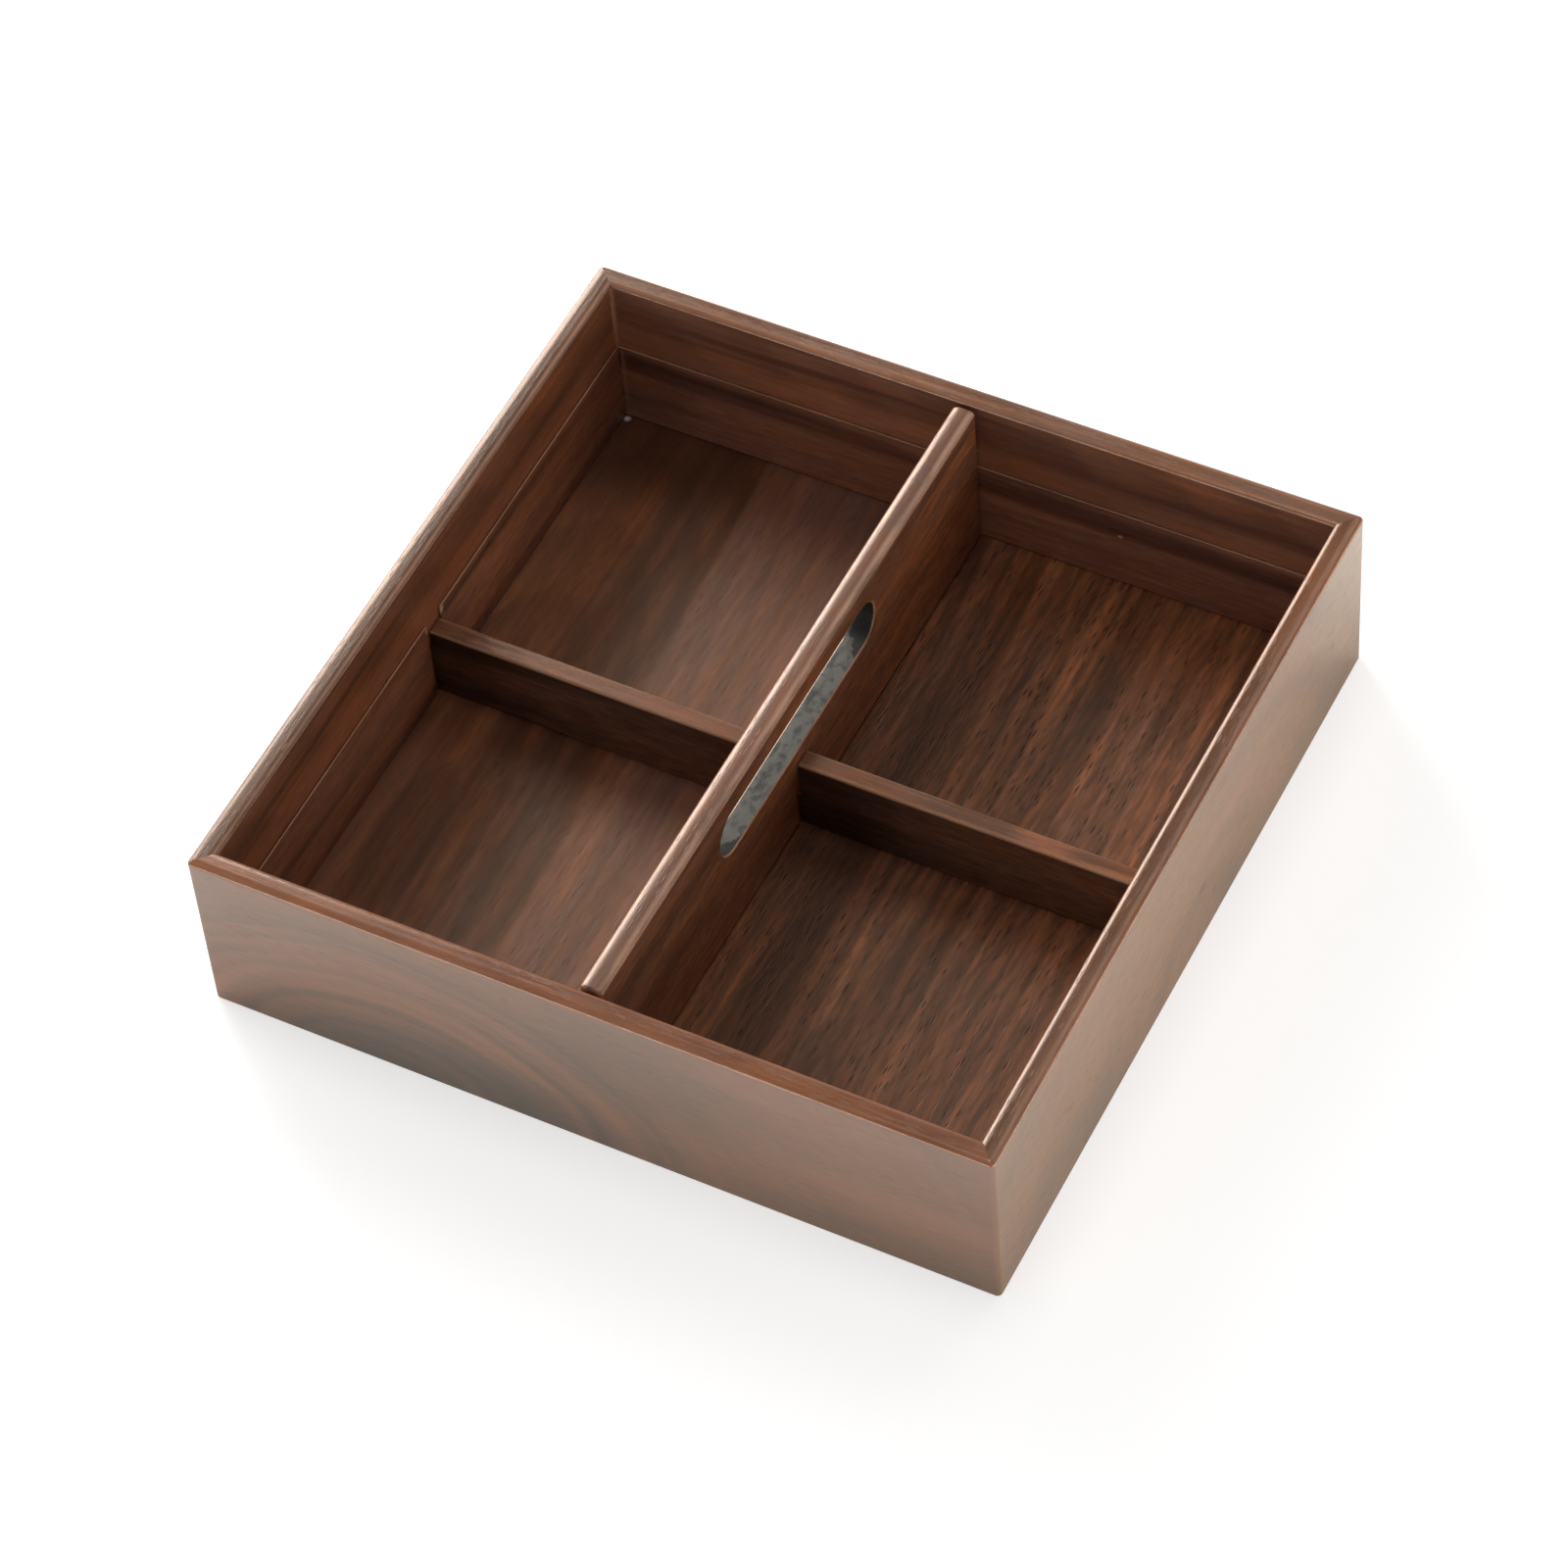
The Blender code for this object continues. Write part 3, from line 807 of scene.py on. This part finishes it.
# %% The outer woods
FRONT_GREY = (0.082, 0.063, 0.047)
FRONT_PINK = (0.28, 0.125, 0.08)
RIGHT_GREY = (0.14, 0.088, 0.052)
RIGHT_PALE = (0.27, 0.172, 0.088)
KNOT_BROWN = (0.1, 0.036, 0.015)
OUTER_TONES = ((0.17, 0.09, 0.05), (0.09, 0.06, 0.042), (0.24, 0.106, 0.06))
outer_finish = {
    "tones": OUTER_TONES, "gloss": 1.0, "pore_share": 0.12, "fleck_share": 0.04, "fibre_share": 0.03,
    "dark_share": 0.55, "roughness": 0.3, "sheen": (1.0, 0.95, 0.9), "drift": 12.0, "follow": 1.0,
    "detail": 2.0, "strand_share": 0.03, "sheen_break": 0.02, "stretch": 0.35, "hue_share": 0.2,
    "ring_share": 0.15}
front_look = {
    "shift": (0, 300, 12), "heart": (-68, 168, 6), "stretch": 0.65, "hue_share": 0.3,
    "tones": ((0.181, 0.097, 0.054), OUTER_TONES[1], (0.246, 0.113, 0.065)),
    "streak_width": 11.0, "ring_gap": 5.5, "ring_share": 0.38, "ring_tone": (0.28, 0.12, 0.078),
    "calm_beyond": (50, 70),
    "stains": [
        ((-48, -130, 0), (98, 9, 32), FRONT_GREY, 1.0), ((16, -130, 42), (50, 9, 28), FRONT_GREY, 0.42),
        ((90, -130, 4), (76, 9, 14), FRONT_GREY, 0.45), ((104, -130, 27), (60, 9, 9), FRONT_PINK, 0.5),
        ((70, -130, 58), (60, 9, 9), FRONT_PINK, 0.35)]}
right_look = {
    "shift": (400, 340, 30), "heart": (410, 205, 30), "stretch": 0.65, "hue_share": 0.3, "dark_share": 0.8,
    "tones": ((0.207, 0.107, 0.047), (0.155, 0.083, 0.043), (0.25, 0.122, 0.06)),
    "streak_width": 26.0, "ring_gap": 13.0, "gloss": 0.75, "fleck_share": 0.012, "pore_share": 0.03,
    "dent": 0.002, "stroke": 0.002,
    "stains": [
        ((130, -90, 4), (9, 70, 34), RIGHT_GREY, 1.0), ((130, -110, 48), (9, 60, 30), RIGHT_GREY, 0.6),
        ((130, 30, 2), (9, 60, 20), RIGHT_GREY, 0.4), ((130, 100, 4), (9, 50, 26), RIGHT_GREY, 0.5),
        ((130, 128, 60), (9, 44, 60), RIGHT_PALE, 0.6), ((130, -81, 31), (3, 3.2, 2.2), KNOT_BROWN, 0.8),
        ((130, 11, 24), (3, 3, 2.6), KNOT_BROWN, 0.8), ((130, 107, 30), (3, 2.4, 2), KNOT_BROWN, 0.8)]}
outer_looks = {
    "front_wall": front_look, "right_wall": right_look,
    "back_wall": {"shift": (900, 390, 55), "heart": (960, 230, 60), "streak_width": 17.0},
    "left_wall": {"shift": (1300, 430, 80), "heart": (1240, 275, 90), "streak_width": 19.0}}
outers = [walnut(wall_name + "_walnut", -90 * turns, **{**outer_finish, **look})
          for turns, (wall_name, look) in enumerate(outer_looks.items())]
print("outer woods", [material.name for material in outers])

# %% [markdown]
# The rims get their light from different sides, so besides its own stains each rim's wood is tinted apart:
# painted light and shade. Inside, the two walls along X and the two along Y share a wood each, also tinted
# apart as painted light. It is painted lighter low down, just above the lining, and darker in the back left
# corner as painted shade.

# %% The rims and the insides
RIM_TONES = np.array(((0.27, 0.114, 0.058), (0.15, 0.056, 0.028), (0.4, 0.175, 0.09)))
INNER_TONES = np.array(((0.175, 0.068, 0.034), (0.09, 0.036, 0.02), (0.27, 0.1, 0.045)))
# Painted light: the tone of the lighter band just above the lining.
INNER_PAINTED_LIGHT = np.array((0.4, 0.155, 0.078))
INNER_CORNER_PALE = (0.42, 0.23, 0.15)
# The rim tints and the inner tints paint light and shade: each is lighter, darker or bluer by how the lamps
# fall on it.
rim_painted_light_tints = [(1.0, 0.95, 0.95), (0.72, 0.73, 0.7), (1.0, 1.24, 1.6), (0.58, 0.7, 0.84)]
inner_painted_light_tints = {0: np.array((1.05, 1.15, 1.4)), -90: np.array((1.0, 0.95, 0.92))}
rim_stains = [
    [((108, -127, 66), (34, 6, 5), (0.15, 0.056, 0.028), 0.4)],
    [((127, 10, 66), (6, 70, 5), (0.1, 0.038, 0.018), 0.65),
     ((127, -96, 66), (6, 50, 5), (0.3, 0.17, 0.11), 0.15),
     ((127, 95, 66), (6, 44, 5), (0.34, 0.11, 0.042), 0.2)],
    [((-90, 127, 66), (60, 6, 5), (0.13, 0.06, 0.036), 0.5),
     ((80, 127, 66), (70, 6, 5), (0.36, 0.19, 0.12), 0.25)],
    [((-126, 0, 66), (2.1, 300, 4), (0.09, 0.042, 0.028), 0.8)]]
wall_finish = {"pore_share": 0.2, "fleck_share": 0.08, "fibre_share": 0.06}
rims = [walnut(f"{wall_name}_rim", -90 * (turns % 2), (500 + 90 * turns, 70, 3), RIM_TONES * tint,
               stains=rim_stains[turns], streak_width=3.5, gloss=0.9, roughness=0.26,
               edge=(0.42, 0.2, 0.12), worn_and_lit_edge_share=0.4, **wall_finish)
        for turns, (wall_name, tint) in enumerate(zip(outer_looks, rim_painted_light_tints))]
inners = [walnut(f"inner_walnut_{turn}", turn, (900, 20, 9), INNER_TONES * tint, streak_width=6.5,
                 # Painted light just above the lining, and painted shade in the back left corner.
                 stains=[((0, 0, 39), (900, 900, 13), INNER_PAINTED_LIGHT * tint, 0.75),
                         ((-123, 123, 56), (46, 46, 30), INNER_PAINTED_LIGHT * tint * 0.45, 0.6),
                         ((-123, 122.8, 54), (1.4, 1.4, 30), INNER_CORNER_PALE, 0.9)],
                 **wall_finish) for turn, tint in inner_painted_light_tints.items()]
print(len(rims), "rim woods and", len(inners), "inner woods")

# %% [markdown]
# Now the four walls can be made. All have the grid of the front wall, turned by a quarter each time. A strip
# of faces belongs to the rim if both its ends lie above the lowest point of the rim's roundings.

# %% Four walls
rim_height = RIM - RIM_DROP - 0.01 * MM
rim_strip = (wall_ring[:, 1] > rim_height) & (np.roll(wall_ring[:, 1], -1) > rim_height)
outer_strip = (wall_ring[:, 0] < WALL / 2) & ~rim_strip
wall_strips = np.where(rim_strip, 1, np.where(outer_strip, 0, 2))
for turns, wall_name in enumerate(outer_looks):
    board(wall_name, turned(front_grid, turns * math.pi / 2), wall_arris, "tray", [wall_name],
          [outers[turns], rims[turns], inners[turns % 2]], strip_materials=wall_strips)

# %% [markdown]
# ## The lining strips
# Six thin strips stand inside the walls, up to about half their height. Only their narrow top edges and
# the dark hairline behind them give them away. Each is a thin rounded rectangle carried along the wall,
# with its wood a little darker below the edge. Its top edge takes the pale edge tone in full, a painted
# highlight. The strips along X are tinted lighter and bluer, as painted light, and all are darker in the
# back left corner, as painted shade. Pale spots where the low divider meets them are painted glints.

# %% Lining woods
LINING_TONES = np.array(((0.31, 0.128, 0.075), (0.165, 0.068, 0.042), (0.42, 0.175, 0.095)))
# Painted light: the strips along X are tinted lighter and bluer than those along Y.
LINING_PAINTED_LIGHT_TINT = np.array((1.15, 1.35, 1.55))
# Painted shade, for the back left corner and a dark line just under the top edge.
LINING_PAINTED_SHADE = LINING_TONES[1] * 0.7
# Pale spots: painted glints where the low divider's end corners meet the strip, and one pale speck.
LINING_SPECK_AND_GLINT = (0.7, 0.5, 0.35)
# The edge tone in full on the top edge is also a painted highlight.
lining_finish = {"edge": (0.46, 0.26, 0.16), "worn_and_lit_edge_share": 1.0, "pore_share": 0.2,
                 "fleck_share": 0.12, "streak_width": 7.0}
lining_walnut = walnut(
    "lining_walnut", 0, (200, 100, 5), LINING_TONES * LINING_PAINTED_LIGHT_TINT, **lining_finish, stains=[
        ((0, 0, 32.5), (900, 900, 6), LINING_TONES[1] * 0.6, 0.9),
        ((0, 0, 19), (900, 900, 7), LINING_TONES[2] * LINING_PAINTED_LIGHT_TINT, 0.45),
        ((-118, 122, 24), (34, 6, 22), LINING_PAINTED_SHADE, 0.6),
        ((-121, 122.2, 24), (1.2, 2, 22), INNER_CORNER_PALE, 0.6),
        ((52.4, 122.2, 28.1), (1.2, 2, 1), LINING_SPECK_AND_GLINT, 0.8)])
side_lining_walnut = walnut(
    "lining_walnut_turned", -90, (200, 140, 5), LINING_TONES, **lining_finish, stains=[
        ((-122, -70, 32), (6, 90, 9), LINING_TONES[2] * 1.15, 0.55),
        ((-122, 60, 35), (6, 90, 3.4), LINING_PAINTED_SHADE, 0.75),
        ((-122, 118, 22), (6, 44, 24), LINING_PAINTED_SHADE, 0.6),
        ((-122, 4.2, 37.4), (3, 2.6, 2.6), LINING_SPECK_AND_GLINT, 1.0),
        ((-122, -4, 37), (3, 1.8, 2.2), LINING_SPECK_AND_GLINT, 0.9)])
print("lining woods", lining_walnut.name, side_lining_walnut.name)

# %% [markdown]
# The box of each CAD strip gives its place. Its back is held 0.2 mm inside the thicker wall, so that no
# two faces lie in one plane, and its ends are eased by drawing the ring in.

# %% Six strips
LINING_ROUND = 0.22 * MM
LINING_EASE = 0.25 * MM
LINING_BACK = INSIDE - 0.2 * MM


def strip_grid(low, high, along_y, stations=8):
    """A rounded rectangle carried from end to end of a box, along X or along Y, with eased ends."""
    across, along = (0, 1) if along_y else (1, 0)
    near, far = np.clip((low[across], high[across]), -LINING_BACK, LINING_BACK)
    start, stop = low[along], high[along]
    ring, _ = rounded_loop(rectangle(near, far, low.z, high.z), [LINING_ROUND] * 4, arc_steps=4)
    arris = np.where(ring[:, 1] > high.z - LINING_ROUND, 1.0, 0.0)
    back, drawn = eased_end(LINING_EASE, 4)
    places = np.hstack([start + back, np.linspace(start, stop, stations)[1:-1], (stop - back)[::-1]])
    insets = np.hstack([drawn, np.zeros(stations - 2), drawn[::-1]])
    return carried(ring, places, insets, along_y=along_y), arris


for strip in ("front_lining", "back_lining", "left_lining_front", "left_lining_back",
              "right_lining_front", "right_lining_back"):
    strip_low, strip_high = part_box(strip)
    along_y = strip_high.y - strip_low.y > strip_high.x - strip_low.x
    grid, strip_arris = strip_grid(strip_low, strip_high, along_y)
    board(strip, grid, strip_arris, "tray", [strip],
          [side_lining_walnut if along_y else lining_walnut])

# %% [markdown]
# ## The long divider
# The tall board of the cross has two outlines: the outer one, with a notch below for the half lap, and
# the long rounded finger slot. A board with a hole is a ring too, like a squared doughnut: its surface
# goes round the slot one way, and the other way through the slot's wall, out over one face, round the
# outer edge and back over the other face. So one grid holds all of it, with every edge rounded.

# %% Long divider sizes
SLOT_HALF = 50.5 * MM
SLOT_LOW, SLOT_HIGH = 39.7 * MM, 56.7 * MM
LAP_HALF = 3.55 * MM

long_low, long_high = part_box("long_divider")
cross_low, cross_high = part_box("cross_divider")
LONG_END = long_high.y - 0.02 * MM
LAP = (long_low.z + cross_high.z) / 2
slot_radius = (SLOT_HIGH - SLOT_LOW) / 2
slot_centre = (SLOT_HIGH + SLOT_LOW) / 2
slot_run = SLOT_HALF - slot_radius
print("long divider end", LONG_END / MM, "top", long_high.z / MM, "lap", LAP / MM)

# %% [markdown]
# Both outlines need the same number of points, one opposite the other. So the outer outline comes first:
# its rounded corners, points on its straight sides, and points where rays from the ends of the slot meet
# it. Each is then matched with the nearest place on the slot, and all are put in order.

# %% Outline and slot, point for point
CORNER_RADII = np.array([0.8, 0.2, 0.2, 0.2, 0.2, 0.8, 1.2, 1.2]) * MM
CLEAR_OF_CORNER = 2.5 * MM
NOTCH_REACH, NOTCH_SQUEEZE = 1.2, 0.4


def around_slot(points):
    """For points of the outer outline, the matching points of the slot and the way between them.

    A point is matched with the nearest place of the slot's middle line, which runs from -run to +run.
    From there the slot's edge lies one slot radius towards the point. Points of the lap notch are first
    drawn together, so that the notch's roof and its foot don't share a place.
    """
    lift = np.clip((points[:, 1] - long_low.z) / (LAP - long_low.z), 0, 1)
    notch = (np.abs(points[:, 0]) < NOTCH_REACH * LAP_HALF) & (points[:, 1] < slot_centre)
    y = points[:, 0] * np.where(notch, 1 - NOTCH_SQUEEZE * lift, 1)
    middle = np.stack([np.clip(y, -slot_run, slot_run), np.full(len(y), slot_centre)], axis=1)
    way = unit(np.stack([y, points[:, 1]], axis=1) - middle)
    return middle + slot_radius * way, way


def rays_to_outline(rays=25, straights=22):
    """Where rays from the ends of the slot's middle line meet the outer rectangle.

    Along a ray at an angle the rectangle is the nearer of run / cosine and rise / sine away.
    """
    angle = np.linspace(-np.pi / 2, np.pi / 2, rays)[1:-1]
    rise = np.where(angle > 0, long_high.z - slot_centre, slot_centre - long_low.z)
    run = LONG_END - slot_run
    reach = np.minimum(run / np.abs(np.cos(angle)), rise / np.maximum(np.abs(np.sin(angle)), TINY))
    right = np.stack([slot_run + reach * np.cos(angle), slot_centre + reach * np.sin(angle)], axis=1)
    straight = np.linspace(-slot_run, slot_run, straights)
    low = straight[np.abs(straight) > 2 * LAP_HALF]
    top = np.stack([straight, np.full(straight.size, long_high.z)], axis=1)
    bottom = np.stack([low, np.full(low.size, long_low.z)], axis=1)
    return np.concatenate([right, right * (-1, 1), top, bottom])


long_corners = [(-LONG_END, long_low.z), (-LAP_HALF, long_low.z), (-LAP_HALF, LAP), (LAP_HALF, LAP),
                (LAP_HALF, long_low.z), (LONG_END, long_low.z), (LONG_END, long_high.z),
                (-LONG_END, long_high.z)]
outline, _ = rounded_loop(long_corners, CORNER_RADII, arc_steps=5)
extra = rays_to_outline()
from_corners = np.linalg.norm(extra[:, None] - np.array(long_corners)[None], axis=2)
outline = np.concatenate([outline, extra[from_corners.min(1) >= CLEAR_OF_CORNER]])
slot_edge, slot_way = around_slot(outline)
bearing = np.arctan2(slot_edge[:, 1] - slot_centre, slot_edge[:, 0])
order = np.argsort((bearing + np.pi / 2) % (2 * np.pi))
outline, slot_edge, slot_way = outline[order], slot_edge[order], slot_way[order]
print("long divider loop", outline.shape)

# %% [markdown]
# The section of the wood round the slot is drawn once: half of it from the middle of the slot's wall to
# the middle of the outer edge, and the other half mirrored. The top edge is rounded much more than the
# edge of the slot, which only has its sharpness taken off.

# %% Carry the section round the slot
LONG_THICK = 7.6 * MM
LONG_ROUND = 2.9 * MM
LONG_DROP = 1.4 * MM
SLOT_ROUND = 0.6 * MM
FACE_STATIONS = np.array([0.02, 0.5, 0.98])


def long_divider_grid():
    """The closed surface of the long divider, its arris numbers and the materials of its strips.

    Each point of the section has a share f from the slot (0) to the outline (1), a distance a into the
    wood from the slot, a distance b inwards from the outline, and a place x across the thickness:
    point = (1 - f) * (slot + a * way) + f * (outline + b * inward step).
    """
    half, flat = LONG_THICK / 2, 0 * FACE_STATIONS
    turn = np.linspace(0, np.pi / 2, ARC_STEPS + 1)
    sine, cosine = np.sin(turn), np.cos(turn)
    share = [0, 0 * turn, FACE_STATIONS, 0 * turn + 1, 1]
    from_slot = [0, SLOT_ROUND * (1 - cosine), SLOT_ROUND + flat, 0 * turn, 0]
    from_edge = [0, 0 * turn, LONG_DROP + flat, LONG_DROP * (1 - sine), 0]
    across = [0, half - SLOT_ROUND * (1 - sine), half + flat, half - LONG_ROUND * (1 - cosine), 0]
    worn_and_lit = np.sin(2 * turn)
    # The slot's edge gets twice the arris number, so the pale edge tone paints a thin lit line along the
    # slot.
    arris = [0, np.minimum(2 * worn_and_lit, 1), flat, worn_and_lit, 0]
    share, from_slot, from_edge, arris, across = (
        np.hstack([*parts, side * np.hstack(parts)[-2:0:-1]])
        for parts, side in ((share, 1), (from_slot, 1), (from_edge, 1), (arris, 1), (across, -1)))
    near = slot_edge[:, None] + from_slot[None, :, None] * slot_way[:, None]
    far = outline[:, None] + from_edge[None, :, None] * inward(outline)[:, None]
    flat_place = (1 - share)[None, :, None] * near + share[None, :, None] * far
    x = np.broadcast_to(across, flat_place.shape[:2])
    strips = np.where((share < 1) & (share > 0), 2, 0)
    strips[[0, -1]] = 1
    return np.stack([x, flat_place[..., 0], flat_place[..., 1]], axis=2), arris, strips


long_grid, long_arris, long_strips = long_divider_grid()
print("long divider grid", long_grid.shape)

# %% [markdown]
# The inside of the slot is routed, not planed, so it is a dull greenish grey, blotched where dust sits in
# the open pores. Both round ends are painted nearly black, as painted shade where little light reaches in.
# That shade is a mask of the distance along the board, and two soft noises make the blotches.

# %% Routed slot finish
SLOT_GREY = (0.088, 0.091, 0.082)
SLOT_DUST = (0.172, 0.178, 0.156)
SLOT_DIRT = (0.052, 0.053, 0.05)
# Nearly black painted shade for both round ends of the slot.
SLOT_END_PAINTED_SHADE = (0.01, 0.009, 0.008)
SLOT_SHADE_FROM, SLOT_SHADE_TO = slot_run + 3.0 * MM, slot_run + 5.5 * MM
SLOT_SHADE_WAVE, SLOT_SHADE_SLANT = 8 * MM, 1.8


def routed_finish():
    """Grey routed wood: soft blotches 8 by 3 mm over a grey ground, finer dirt, and ends painted black as
    shade.
    """
    made = bpy.data.materials.new("routed_slot")
    tree = blank_tree(made)
    place = add_node(tree, "TexCoord", output="Object")
    wood = in_the_wood(place, -90)
    blotch = noise(wood, (1 / 0.13, 1 / 0.35, 1 / 0.35), 3.0)
    fine = noise(wood, detail=3.0, Scale=0.36)
    colour = mix(remap(blotch, 0.3, 0.52), SLOT_GREY, SLOT_DUST)
    colour = mix(remap(fine, 0.5, 0.66, 0.0, 0.7), colour, SLOT_DIRT)
    x, y, _ = split(place)
    # Painted shade: the round ends of the slot turn nearly black.
    along = maths("ABSOLUTE", y) + fine * SLOT_SHADE_WAVE + x * SLOT_SHADE_SLANT
    colour = mix(remap(along, SLOT_SHADE_FROM, SLOT_SHADE_TO, 0.0, 0.97), colour, SLOT_END_PAINTED_SHADE)
    bump = add_node(tree, "Bump", {"Height": blotch * 0.05, "Distance": MM, "Strength": 1.0})
    shader = add_node(tree, "BsdfPrincipled", {
        "Base Color": colour, "Roughness": remap(blotch, 0.3, 0.7, 0.7, 0.5), "Normal": bump})
    add_node(tree, "OutputMaterial", {"Surface": shader})
    return made


# %% [markdown]
# The two dividers lie in their play, not quite square to the walls. The long one is turned by less than
# half a degree, and leaves a narrow dark gap at its far end, where nearly black painted shade on its top
# and down its face makes the gap look deep. Its top edge shows another wood than its faces. The right face
# is darker along its top, as painted shade, and darker near the front.

# %% Long divider
LONG_TURN = math.radians(-0.43)
LONG_SHIFT = -0.05 * MM
# Nearly black painted shade in the gap at the far end, on the top and down the face.
GAP_PAINTED_SHADE = (0.006, 0.004, 0.003)
long_finish = {"turn": -90, "shift": (700, 60, 33), "pore_share": 0.3, "heart": (700, -60, 10)}
long_walnut = walnut(
    "long_divider_walnut", streak_width=5.0, gloss=0.9, roughness=0.33, sheen=(1.0, 0.95, 0.9),
    tones=((0.23, 0.092, 0.048), (0.105, 0.044, 0.025), (0.36, 0.145, 0.07)),
    edge=(0.5, 0.275, 0.175), worn_and_lit_edge_share=0.85, **long_finish, stains=[
        ((0, 95, 65), (6, 40, 5), (0.12, 0.045, 0.022), 0.3),
        ((3.4, 121.4, 65), (2.6, 1.9, 4), GAP_PAINTED_SHADE, 1.0)])
long_face = walnut(
    "long_divider_face", streak_width=9.0, **long_finish,
    tones=((0.33, 0.13, 0.066), (0.165, 0.066, 0.036), (0.46, 0.18, 0.075)), stains=[
        # Painted shade: darker along the top of the right face.
        ((4, 0, 64), (8, 220, 26), (0.085, 0.034, 0.018), 0.85),
        ((4, -80, 42), (8, 60, 28), (0.12, 0.055, 0.036), 0.4),
        ((4, 84, 30), (8, 44, 22), (0.52, 0.17, 0.05), 0.4),
        ((4, 122, 40), (4, 1.6, 60), GAP_PAINTED_SHADE, 0.9)])
board("long_divider", turned(long_grid, LONG_TURN) + (LONG_SHIFT, 0, 0), long_arris, "divider_cross",
      ["long_divider"], [long_walnut, routed_finish(), long_face], closed=True,
      strip_materials=long_strips)

# %% [markdown]
# ## The cross divider
# The low board of the cross runs from left to right under the long one, notched from above to let it
# pass. It is a rounded rectangle carried along X. Its ends are eased by drawing the ring in, and at
# the notch the upper half of the ring drops to the height of the lap.

# %% Cross divider shape
CROSS_THICK = 6.5 * MM
CROSS_ROUND = 1.0 * MM
CROSS_RADII = np.array([0.3, 0.3, 1.0, 1.0]) * CROSS_ROUND
CROSS_DROP = 0.7 * MM
CROSS_EASE = 0.5 * MM
CROSS_GAP = 0.15 * MM
NOTCH_PLAY = 0.3 * MM
NOTCH_STEP = 0.02 * MM


def cross_divider_grid(stations=16):
    """The surface of the cross divider along X: one half from the notch to the end, and its mirror."""
    half, tall = CROSS_THICK / 2, cross_high.z
    ring, arris = rounded_loop(rectangle(-half, half, cross_low.z, tall), CROSS_RADII)
    ring = flatten_top(ring, tall, CROSS_ROUND, CROSS_DROP)
    end = min(cross_high.x, INSIDE - CROSS_GAP)
    notch = LONG_THICK / 2 + NOTCH_PLAY
    back, drawn = (v[::-1] for v in eased_end(CROSS_EASE, 5))
    half_x = np.hstack([notch, notch + NOTCH_STEP, np.linspace(notch, end, stations)[1:-1], end - back])
    half_in = np.hstack([np.zeros(stations), drawn])
    lowered = np.where(half_x == notch, tall - LAP, 0.0)
    x, inset, drop = (np.hstack([side * v[::-1], v])
                      for v, side in ((half_x, -1), (half_in, 1), (lowered, 1)))
    upper = ring[:, 1] > (tall + cross_low.z) / 2
    return carried(ring, x, inset, drop[:, None] * upper[None]), arris


cross_grid, cross_arris = cross_divider_grid()
print("cross divider grid", cross_grid.shape)

# %% [markdown]
# Its top edge is a wood of its own too, pale and orange. Its faces are painted nearly black beside the long
# divider and near the left wall, as painted shade, and are darker along their top. A strip of faces belongs
# to the top if it lies above the roundings.

# %% Cross divider
CROSS_TURN = math.radians(-0.27)
cross_finish = {"turn": 0, "shift": (50, 820, 21), "pore_share": 0.3, "heart": (50, 690, 10)}
cross_walnut = walnut(
    "cross_divider_walnut", streak_width=5.0, roughness=0.32, gloss=0.8, hue_share=0.8, **cross_finish,
    tones=((0.31, 0.12, 0.056), (0.14, 0.056, 0.028), (0.47, 0.185, 0.08)),
    edge=(0.415, 0.258, 0.165), worn_and_lit_edge_share=0.7, stains=[
        ((-66, 0, 34), (64, 6, 6), (0.23, 0.075, 0.024), 0.6),
        ((-121, 0, 34), (36, 6, 6), (0.1, 0.045, 0.025), 0.8),
        ((84, 0, 34), (14, 6, 6), (0.56, 0.2, 0.1), 0.5),
        ((28, 0, 34), (26, 6, 6), (0.42, 0.175, 0.09), 0.3)])
cross_face = walnut(
    "cross_divider_face", streak_width=8.0, **cross_finish,
    tones=((0.2, 0.115, 0.078), (0.085, 0.05, 0.036), (0.31, 0.165, 0.105)), stains=[
        ((0, 0, 35), (220, 8, 13), (0.045, 0.03, 0.024), 0.85),
        ((84, -3, 14), (56, 8, 30), (0.33, 0.2, 0.13), 0.35),
        # Painted shade: nearly black near the left wall and beside the long divider.
        ((-121, -3, 18), (46, 8, 40), (0.03, 0.012, 0.008), 0.9),
        ((5, -3, 18), (40, 8, 40), (0.03, 0.01, 0.005), 0.95)])
ring_heights = cross_grid[3, :, 2]
below_arris = cross_high.z - CROSS_DROP - 0.01 * MM
face_strip = (ring_heights < below_arris) | (np.roll(ring_heights, -1) < below_arris)
board("cross_divider", turned(cross_grid, CROSS_TURN), cross_arris, "divider_cross", ["cross_divider"],
      [cross_walnut, cross_face], strip_materials=face_strip.astype(int))
